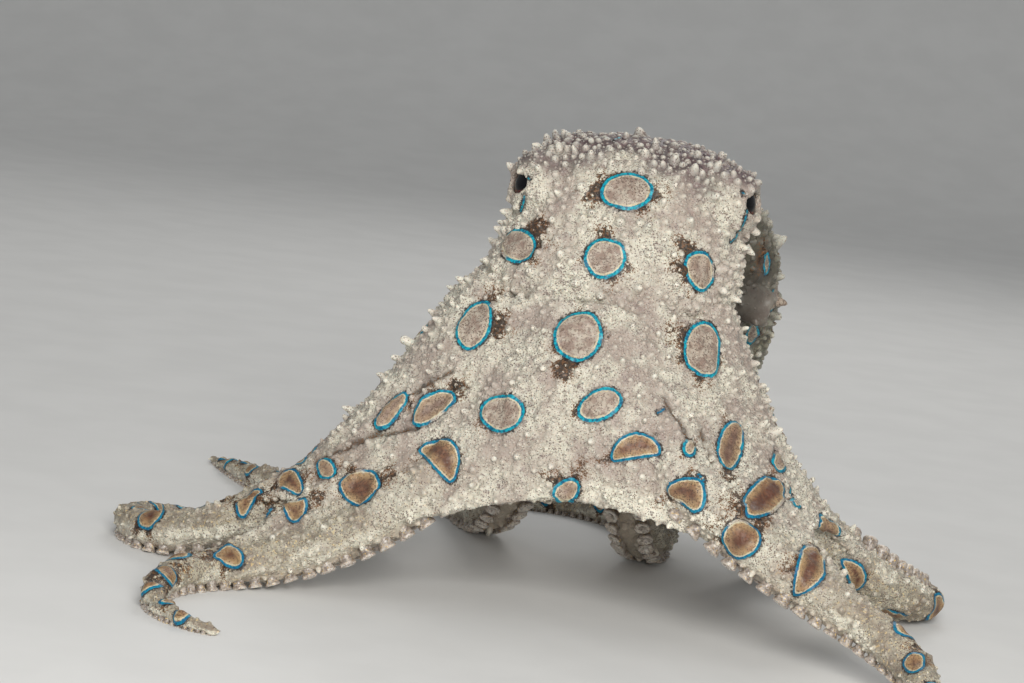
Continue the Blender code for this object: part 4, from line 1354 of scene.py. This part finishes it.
def pigment_group():
    """Fine dark pigment cells: dots of many sizes, which run together where Patch is high."""
    tree, g, given, result = open_group("pigment_cells", ("Place", "Spacing", "Amount", "Patch"),
                                        ("Dots", "Patches"))
    cells = cells_at(g, given["Place"], given["Spacing"])
    chance = g.add("ShaderNodeSeparateColor", Color=cells["Color"])
    reach = g.times(chance, given["Amount"])
    g.put(result["Dots"], g.ramp(g.less(reach, cells["Distance"]), -0.06, 0.08))
    full = g.times(given["Patch"], g.plus(0.8, g.times(chance, 0.7)))
    full = g.less(full, g.times(cells["Distance"], 0.75))
    g.put(result["Patches"], g.ramp(full, -0.02, 0.16))
    return tree


def granule_group():
    """The skin's fine pebbling: round grains with furrows between, as a height and as a pale mask."""
    tree, g, given, result = open_group("skin_granules", ("Place", "Spacing", "Folds"), ("Height", "Pale"))
    cells = cells_at(g, given["Place"], given["Spacing"])
    dome = g.ramp(cells["Distance"], 0.0, 0.62, 1.0, 0.0)
    g.put(result["Height"], g.plus(dome, g.times(given["Folds"], 0.9)))
    g.put(result["Pale"], g.ramp(dome, 0.45, 0.95))
    return tree


def ring_group():
    """From the distance outside a ring's line, the masks of its border, blue line, cream line and middle."""
    tree, g, given, result = open_group("ring_bands", ("Place", "Distance", "Missing"),
                                        ("Border", "Line", "Inner", "Middle"))
    ragged = g.noise(given["Place"], 2900.0, 2.0, 0.65)
    far = g.plus(given["Distance"], g.times(g.less(ragged, 0.5), 0.26))
    broken = g.noise(given["Place"], 620.0, 1.0, 0.55)
    there = g.less(1.0, given["Missing"])
    outer = g.plus(far, g.times(g.less(ragged, 0.5), 0.9))
    border = g.times(g.ramp(far, 0.07, 0.13), g.ramp(outer, 0.20, 0.46, 1.0, 0.0))
    g.put(result["Border"], g.times(border, g.ramp(broken, 0.36, 0.55, 0.55, 1.0)))
    line = g.times(g.ramp(far, -0.23, -0.16), g.ramp(far, 0.10, 0.16, 1.0, 0.0))
    g.put(result["Line"], g.times(line, there))
    inner = g.times(g.ramp(far, -0.42, -0.30), g.ramp(far, -0.23, -0.16, 1.0, 0.0))
    g.put(result["Inner"], g.times(inner, g.ramp(ragged, 0.38, 0.56, 0.15, 1.0)))
    g.put(result["Middle"], g.ramp(far, -0.24, -0.38, 0.0, 1.0))
    return tree


pigment_tree = pigment_group()
granule_tree = granule_group()
ring_tree = ring_group()


def grouped(g, tree, **given):
    made = g.tree.nodes.new("ShaderNodeGroup")
    made.node_tree = tree
    for name, value in given.items():
        g.put(made.inputs[name], value)
    return made.outputs


def three_fields(g, name):
    """The three numbers of a colour attribute."""
    made = g.tree.nodes.new("ShaderNodeSeparateColor")
    g.put(made.inputs[0], g.add("ShaderNodeAttribute", {"attribute_name": name}, out=0))
    return made.outputs


def skin_material(name, granule_spacing, bump_height, wet):
    material, g, shader = new_material(name)
    place = g.place()
    zone_mauve, zone_olive, zone_cream = three_fields(g, "zones")
    zone_under, fold_painted_shade, mantle_colour_and_shade = three_fields(g, "hidden")
    red, missing, patch = three_fields(g, "ring_marks")
    distance = g.field("ring_distance")
    tip = g.field("tip")
    cloud = g.noise(place, 260.0, 3.0, 0.6)
    mottle = g.noise(place, 1050.0, 3.0, 0.62)
    flecks = g.noise(place, 3600.0, 1.0, 0.55)
    grain = grouped(g, granule_tree, Place=place, Spacing=granule_spacing, Folds=mottle)
    thick = g.ramp(g.plus(cloud, g.times(mottle, 0.5)), 0.60, 0.92, 0.38, 0.68)
    pigment = grouped(g, pigment_tree, Place=place, Spacing=6600.0, Amount=thick, Patch=patch)
    bands = grouped(g, ring_tree, Place=place, Distance=distance, Missing=missing)

    colour = g.mix(g.ramp(cloud, 0.36, 0.60), (0.34, 0.285, 0.245), (0.54, 0.51, 0.425))
    colour = g.mix(g.times(g.ramp(mottle, 0.50, 0.70), 0.6), colour, (0.235, 0.18, 0.165))
    colour = g.mix(g.times(grain["Pale"], 0.4), colour, (0.70, 0.68, 0.59))
    mauve = g.mix(g.ramp(mottle, 0.42, 0.66), (0.036, 0.016, 0.026), (0.128, 0.078, 0.086))
    colour = g.mix(g.times(zone_mauve, 0.9), colour, mauve)
    olive = g.mix(g.ramp(mottle, 0.38, 0.66), (0.11, 0.085, 0.05), (0.38, 0.34, 0.235))
    olive = g.mix(g.ramp(flecks, 0.6, 0.7), olive, (0.60, 0.43, 0.16))
    colour = g.mix(g.times(zone_olive, 0.6), colour, olive)
    # The mantle's dark olive grey: partly its own colour, and partly painted shade
    colour = g.mix(g.times(mantle_colour_and_shade, 0.8), colour,
                   g.mix(g.ramp(mottle, 0.38, 0.66), (0.038, 0.040, 0.023), (0.122, 0.128, 0.078)))
    colour = g.mix(g.times(zone_cream, g.ramp(mottle, 0.35, 0.6, 0.25, 0.8)), colour,
                   (0.66, 0.63, 0.53))
    colour = g.mix(g.times(zone_under, 0.75), colour, (0.50, 0.43, 0.35))
    white = g.times(g.ramp(tip, 0.08, 1.0), g.less(0.7, g.times(patch, 0.7)))
    colour = g.mix(white, colour, (0.74, 0.72, 0.63))
    # Painted shade: near black in the hollow beside the funnel and along the creases
    colour = g.mix(g.times(fold_painted_shade, 0.92), colour, (0.038, 0.032, 0.026))
    plain = g.less(0.8, g.times(g.math("MAXIMUM", zone_under, fold_painted_shade), 0.6))
    colour = g.mix(g.times(pigment["Dots"], plain), colour, (0.115, 0.08, 0.072))
    brown = g.mix(g.ramp(patch, 0.25, 0.65), (0.15, 0.07, 0.026), (0.022, 0.010, 0.004))
    brown = g.mix(g.times(g.ramp(flecks, 0.5, 0.62), 0.45), brown, (0.24, 0.10, 0.03))
    colour = g.mix(g.times(pigment["Patches"], 0.92), colour, brown)

    beige = g.mix(g.ramp(mottle, 0.38, 0.62), (0.25, 0.185, 0.15), (0.42, 0.365, 0.30))
    ruddy = g.mix(g.ramp(distance, -1.35, -0.45), (0.085, 0.022, 0.008), (0.33, 0.215, 0.105))
    ruddy = g.mix(g.times(g.ramp(mottle, 0.45, 0.65), 0.6), ruddy, (0.21, 0.09, 0.042))
    middle = g.mix(g.ramp(red, 0.0, 0.75), beige, ruddy)
    specks = g.math("MAXIMUM", pigment["Dots"], g.times(g.ramp(flecks, 0.55, 0.66), 0.7))
    middle = g.mix(g.times(specks, 0.78), middle, (0.075, 0.042, 0.028))
    colour = g.mix(g.times(bands["Middle"], 0.92), colour, middle)
    colour = g.mix(g.times(bands["Inner"], 0.75), colour, (0.56, 0.50, 0.33))
    colour = g.mix(g.times(bands["Border"], 0.93), colour, (0.014, 0.010, 0.010))
    blue = g.mix(g.ramp(flecks, 0.36, 0.62), (0.001, 0.10, 0.18), (0.002, 0.31, 0.39))
    blue = g.mix(g.times(red, 0.7), blue, (0.001, 0.085, 0.21))
    colour = g.mix(bands["Line"], colour, blue)
    g.put(shader.inputs["Base Color"], colour)

    rough = g.ramp(mottle, 0.35, 0.75, wet, wet + 0.22)
    g.put(shader.inputs["Roughness"], g.less(rough, g.times(bands["Line"], 0.08)))
    height = g.plus(g.times(grain["Height"], g.ramp(distance, -0.1, 0.5, 0.45, 1.0)),
                    g.times(g.ramp(distance, -0.35, 0.3, 0.0, 1.0), -0.5))
    g.bump(shader, 0.8, bump_height, g.times(height, g.ramp(fold_painted_shade, 0.1, 0.7, 1.0, 0.15)))
    set_sockets(shader, Subsurface_Weight=0.2, Subsurface_Radius=(1.0, 0.6, 0.45), Subsurface_Scale=0.0004,
                Specular_IOR_Level=0.28, Coat_Weight=0.04, Coat_Roughness=0.22)
    return material


ringed_skin = skin_material("ringed_skin", 3000.0, 0.10, 0.40)
SKIN_PIECES = {"skin_head": [HEAD], "skin_mantle": [MANTLE, FUNNEL]}
SKIN_NODES = {"skin_head": ["head"], "skin_mantle": ["mantle", "funnel"]}
for i, name in enumerate(ARMS):
    SKIN_PIECES[f"skin_{name}"] = [FIRST_ARM + i]
    SKIN_NODES[f"skin_{name}"] = [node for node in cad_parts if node.startswith(name)]
for i, web in enumerate(WEBS):
    SKIN_PIECES[f"skin_{web[0]}"] = [FIRST_WEB + i]
    SKIN_NODES[f"skin_{web[0]}"] = [web[0]]
face_part = skin_part[skin_faces[:, 0]]


def set_skin_values(obj, root, marks, tip):
    """Writes what the skin's material reads, as the skin has it at each point's root."""
    set_values(obj, "ring_distance", ring_distance[root])
    set_values(obj, "ring_marks", marks)
    set_values(obj, "tip", tip)
    set_values(obj, "zones", zones[root])
    set_values(obj, "hidden", hidden[root])


for name, parts in SKIN_PIECES.items():
    faces = skin_faces[np.isin(face_part, parts)]
    used, corners = np.unique(faces, return_inverse=True)
    piece = mesh_object(name, skin_points[used], corners.reshape(-1, 4))
    piece.data.normals_split_custom_set_from_vertices(skin_out[used].tolist())
    set_skin_values(piece, used, ring_marks[used], swell[used])
    piece.data.materials.append(ringed_skin)
    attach(piece, "root")
    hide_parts(*SKIN_NODES[name])

# The papillae
# Small soft points of the same skin stand all over it, some pointed and some round ended, thick on the
# head's top and along its edges. Each grows out of the skin and carries the skin's own markings.

UV_PATCH = 0.003
UV_MARGIN = 0.02
UV_CELLS = 5
GOLDEN_TURN = 2.399963
PAPILLA_BEND = 0.12


def unwrap_places(corner):
    """Where each spot's root lies on an unwrap of the skin, part by part, along it and round it."""
    part = skin_part[corner]
    cell = 1 / UV_CELLS
    inner = cell * (1 - 2 * UV_MARGIN)
    along = np.clip(skin_along[corner], 0, 1)
    round_ = np.clip(skin_round[corner], 0, 1)
    half = (part >= FIRST_WEB) & (top_side[corner] < 0)
    round_ = np.where(part >= FIRST_WEB, 0.5 * round_ + 0.5 * half, round_)
    return np.stack([(part % UV_CELLS) * cell + cell * UV_MARGIN + inner * along,
                     (part // UV_CELLS) * cell + cell * UV_MARGIN + inner * round_], axis=1)


def circles(u, v, turn):
    """Circles of points in the planes that pairs of directions span."""
    return u[:, None, :] * np.cos(turn)[None, :, None] + v[:, None, :] * np.sin(turn)[None, :, None]


def papillae(spots, out, radius, height, soft, sides, rows, seed):
    """Points, faces, owners and rise of papillae that stand on the skin at the given spots. A soft one is a
    low bell, and the others are cones and round ended stems."""
    draw = np.random.default_rng(seed)
    count = len(spots)
    u = units(np.cross(out, draw.normal(size=(count, 3))))
    ring = circles(u, np.cross(out, u), np.arange(sides) * math.tau / sides)
    bent = draw.normal(size=(count, 3)) * PAPILLA_BEND
    blunt = 0.8 * np.clip(draw.uniform(-1.3, 1.0, count), 0, 1)
    points = []
    steps = np.sin(math.pi / 2 * np.linspace(0, 0.96, rows))
    for t in steps:
        cone = 0.56 * math.sqrt(1 - t * t) + 0.2 * (1 - t) + 0.32 * math.exp(-6 * t)
        stem = 0.62 + 0.10 * math.cos((t - 0.75) * 4.5)
        stem = stem * math.sqrt(max(0.0, 1 - max(0.0, (t - 0.5) / 0.5) ** 2))
        bell = math.acos(2 * t - 1) / math.pi
        wide = radius * (bell * soft + (cone * (1 - blunt) + stem * blunt) * (1 - soft))
        rise = height * t - 0.45 * radius * (1 - t) ** 4
        middle = spots + out * rise[:, None] + bent * (height * t * t)[:, None]
        points.append(middle[:, None, :] + ring * wide[:, None, None])
    points = np.stack(points, axis=1)
    tops = points[:, -1].mean(axis=1) + out * (height * (1 - steps[-1]))[:, None]
    flat = np.concatenate([points.reshape(count, rows * sides, 3), tops[:, None, :]], axis=1)
    each = rows * sides + 1
    squares = tube_faces(rows, sides)
    last = (rows - 1) * sides + np.arange(sides)
    cap = np.stack([last, np.roll(last, -1), np.full(sides, each - 1)], axis=1)
    start = (np.arange(count) * each)[:, None, None]
    rise = np.concatenate([np.repeat(steps, sides), [1.0]])
    return (flat.reshape(-1, 3), [(squares[None] + start).reshape(-1, 4), (cap[None] + start).reshape(-1, 3)],
            np.repeat(np.arange(count), each), np.tile(rise, count), each)


def with_skin_values(obj, owner, corner, rise, places, pale):
    """Gives points of small forms the skin's values at their roots, and lays their patches on its unwrap."""
    root = corner[owner]
    marks = ring_marks[root] * (1 - 0.7 * rise[:, None] * (0, 0, 1))
    tip = swell[root] * (1 - rise) + rise * np.clip(pale + 0.4 * mauve[root], 0, 1)
    set_skin_values(obj, root, marks, tip)
    layer = obj.data.uv_layers.new(name="OFBake")
    index = read_out(obj.data.loops, "vertex_index", 1)
    around = np.arange(len(owner)) * GOLDEN_TURN
    offset = np.stack([np.cos(around), np.sin(around)], axis=1) * (UV_PATCH / 2 * (1 - 0.85 * rise))[:, None]
    layer.data.foreach_set("uv", (places[owner] + offset)[index].astype(np.float32).ravel())


MOST_TRIANGLES = 180000
PAPILLA_SOFT = {"large": 0.0, "medium": 1.0, "fine": 1.0}
PAPILLA_PALE = {"large": 0.95, "medium": 0.5, "fine": 0.3}
papilla_skin = skin_material("papilla_skin", 3600.0, 0.04, 0.38)
for name, _, _, _, _, sides, rows in PAPILLA_SIZES:
    stand = stands[name]
    count = len(stand["spots"])
    places = unwrap_places(stand["corner"])
    soft = PAPILLA_SOFT[name] * (1 - 0.7 * mauve[stand["corner"]])
    radius = stand["radius"] * (1 - 0.25 * (PAPILLA_SOFT[name] - soft))
    points, faces, owner, rise, each = papillae(stand["spots"], stand["out"], radius, stand["height"], soft,
                                                sides, rows, len(name) * 7 + 2)
    points[:, 2] = np.maximum(points[:, 2], 0.0)
    pieces = max(1, math.ceil(each * 2 * count / MOST_TRIANGLES))
    for k in range(pieces):
        low, high = count * k // pieces * each, count * (k + 1) // pieces * each
        part_faces = [part[(part[:, 0] >= low) & (part[:, 0] < high)] - low for part in faces]
        piece_name = f"papillae_{name}" + (f"_{k + 1}" if pieces > 1 else "")
        obj = mesh_object(piece_name, points[low:high], part_faces)
        with_skin_values(obj, owner[low:high], stand["corner"], rise[low:high], places, PAPILLA_PALE[name])
        obj.data.materials.append(papilla_skin)
        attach(obj, "root")

# The suckers
# Two rows of soft cups run along the underside of each arm from near the mouth to its tip. Each is a
# short stalk that flares into a ribbed disc with a deep hole in its middle.

SUCKER_FIRST = 6.0
SUCKER_PITCH = 1.02
SUCKER_SIDES = 16
SUCKER_SEED = 71
RIB_HEIGHT = 0.05
# Rows up a sucker and down into its cup: height as a share of its height, and radius as a share of its own
SUCKER_PROFILE = ((-0.6, 0.84), (0.0, 0.80), (0.25, 0.77), (0.45, 0.84), (0.62, 0.95), (0.78, 0.98),
                  (0.92, 0.93), (1.0, 0.82), (1.0, 0.70), (0.9, 0.52), (0.8, 0.38), (0.4, 0.3), (0.3, 0.05))
RIBBED_ROWS = range(6, 10)


def sucker_material():
    material, g, shader = new_material("sucker_flesh")
    place = g.place()
    rise = g.field("tip")
    mottle = g.noise(place, 2200.0, 4.0, 0.6)
    flecks = g.noise(place, 5200.0, 2.0)
    stalk = g.mix(g.ramp(mottle, 0.36, 0.66), (0.20, 0.165, 0.14), (0.46, 0.41, 0.36))
    stalk = g.mix(g.ramp(flecks, 0.6, 0.7), stalk, (0.60, 0.42, 0.16))
    cup = g.mix(g.ramp(mottle, 0.35, 0.65), (0.50, 0.44, 0.38), (0.74, 0.69, 0.62))
    colour = g.mix(g.ramp(rise, 0.35, 0.6), stalk, cup)
    # Painted shade: the bottom of each cup's hole is darkened
    colour = g.mix(g.ramp(rise, 0.86, 1.0), colour, (0.16, 0.11, 0.095))
    dots = grouped(g, pigment_tree, Place=place, Spacing=4600.0, Amount=0.6, Patch=0.0)["Dots"]
    colour = g.mix(g.times(dots, 0.5), colour, (0.10, 0.06, 0.045))
    g.put(shader.inputs["Base Color"], colour)
    g.put(shader.inputs["Roughness"], g.ramp(mottle, 0.35, 0.7, 0.28, 0.45))
    grain = grouped(g, granule_tree, Place=place, Spacing=5000.0, Folds=mottle)
    g.bump(shader, 0.5, 0.04, grain["Height"])
    set_sockets(shader, Subsurface_Weight=0.35, Subsurface_Radius=(1.0, 0.7, 0.5), Subsurface_Scale=0.0006,
                Coat_Weight=0.2, Coat_Roughness=0.2)
    return material


def arm_suckers(name, seed):
    """Points, faces and rise of all the suckers of one arm."""
    draw = np.random.default_rng(seed)
    lengths, sides = [], []
    length, side = SUCKER_FIRST, 1
    while length < ARM_LENGTH - 0.5:
        lengths.append(length)
        sides.append(side)
        side = -side
        length += SUCKER_PITCH * float(sucker_radius(length)) * draw.uniform(0.94, 1.06)
    lengths, sides = np.array(lengths), np.array(sides)
    middle, along, up, across, _ = route_at(name, lengths)
    half = arm_width(lengths)
    radius = sucker_radius(lengths) * 0.93 * draw.uniform(0.92, 1.06, len(lengths))
    height = sucker_height(lengths, name) * draw.uniform(0.92, 1.04, len(lengths))
    root = middle - up * (half * ARM_DEPTH_SHARE * math.cos(SUCKER_ANGLE))[:, None]
    root = root + across * (sides * half * math.sin(SUCKER_ANGLE))[:, None]
    axis = -up + across * (0.35 * sides)[:, None] + draw.normal(size=middle.shape) * 0.06
    axis = units(axis)
    u = units(along - axis * (along * axis).sum(axis=1)[:, None])
    turn = np.arange(SUCKER_SIDES) * math.tau / SUCKER_SIDES
    ring = circles(u, np.cross(axis, u), turn)
    rows = []
    for k, (rise, wide) in enumerate(SUCKER_PROFILE):
        rib = 1 + (RIB_HEIGHT * np.cos(turn * SUCKER_SIDES / 2) if k in RIBBED_ROWS else 0 * turn)
        rows.append((root + axis * (height * rise)[:, None])[:, None, :]
                    + ring * (radius * wide)[:, None, None] * rib[None, :, None])
    points = np.stack(rows, axis=1).reshape(-1, 3)
    each = len(SUCKER_PROFILE) * SUCKER_SIDES
    start = (np.arange(len(lengths)) * each)[:, None, None]
    squares = (tube_faces(len(SUCKER_PROFILE), SUCKER_SIDES)[None] + start).reshape(-1, 4)
    points[:, 2] = np.maximum(points[:, 2], 0.0)
    rise = np.tile(np.repeat(np.linspace(0, 1, len(SUCKER_PROFILE)), SUCKER_SIDES), len(lengths))
    return points, squares, rise


sucker_flesh = sucker_material()
for side_name in ("left", "right"):
    points, faces, rises, first = [], [], [], 0
    for i, name in enumerate(ARMS):
        if side_name in name:
            found, squares, rise = arm_suckers(name, SUCKER_SEED + i)
            points.append(found)
            faces.append(squares + first)
            rises.append(rise)
            first += len(found)
    obj = mesh_object(f"suckers_{side_name}", np.concatenate(points), np.concatenate(faces))
    set_values(obj, "tip", np.concatenate(rises))
    obj.data.materials.append(sucker_flesh)
    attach(obj, "root")

# The floor and the light
# A plain pale floor that curves up behind, under soft studio lights: one broad light above in front, a
# faint one on the left and one from behind, which picks out the papillae along the edge. Pale light from
# all sides softens the shadows.

FLOOR_HALF = 900.0
FLOOR_BEHIND = 420.0
FLOOR_CURVE = 260.0
FLOOR_WALL = 900.0


def floor_material():
    material, g, shader = new_material("floor_pale")
    place = g.place()
    grain = g.noise(place, 90.0, 3.0)
    pale = g.mix(g.ramp(grain, 0.3, 0.7), (0.66, 0.66, 0.65), (0.69, 0.69, 0.68))
    g.put(shader.inputs["Base Color"], pale)
    set_sockets(shader, Roughness=0.75)
    return material


profile = [(-FLOOR_HALF, 0.0), (FLOOR_BEHIND, 0.0)]
profile += [(FLOOR_BEHIND + FLOOR_CURVE * math.sin(a), FLOOR_CURVE * (1 - math.cos(a)))
            for a in np.linspace(0, math.pi / 2, 16)[1:]]
profile.append((FLOOR_BEHIND + FLOOR_CURVE, FLOOR_WALL))
rows = np.array([[(x, y, z) for x in (-FLOOR_HALF, FLOOR_HALF)] for y, z in profile]).reshape(-1, 3)
squares = np.array([[2 * i, 2 * i + 1, 2 * i + 3, 2 * i + 2] for i in range(len(profile) - 1)])
floor = mesh_object("floor", rows, squares, moved=False)
floor.data.materials.append(floor_material())

LIGHTS_AIM = (0, 0, 20)
LIGHTS = (
    # name, place, size, power, colour
    ("key", (35.0, -300.0, 140.0), 150.0, 1.05, (1.0, 0.98, 0.94)),
    ("fill", (-260.0, -200.0, 160.0), 220.0, 0.06, (0.95, 0.97, 1.0)),
    ("rim", (60.0, 260.0, 240.0), 160.0, 0.25, (1.0, 0.98, 0.95)),
)
for name, place, size, power, colour in LIGHTS:
    data = bpy.data.lights.new(name, "AREA")
    data.size = size * MM
    data.energy = power
    data.color = colour
    lamp = bpy.data.objects.new(name, data)
    bpy.context.scene.collection.objects.link(lamp)
    lamp.location = Vector(place) * MM
    lamp.rotation_euler = (Vector(LIGHTS_AIM) - Vector(place)).to_track_quat("-Z", "Y").to_euler()

world = bpy.data.worlds.new("studio")
world.use_nodes = True
set_sockets(world.node_tree.nodes["Background"], Color=(0.84, 0.85, 0.86, 1), Strength=0.43)
bpy.context.scene.world = world
bpy.context.scene.view_settings.view_transform = "Standard"
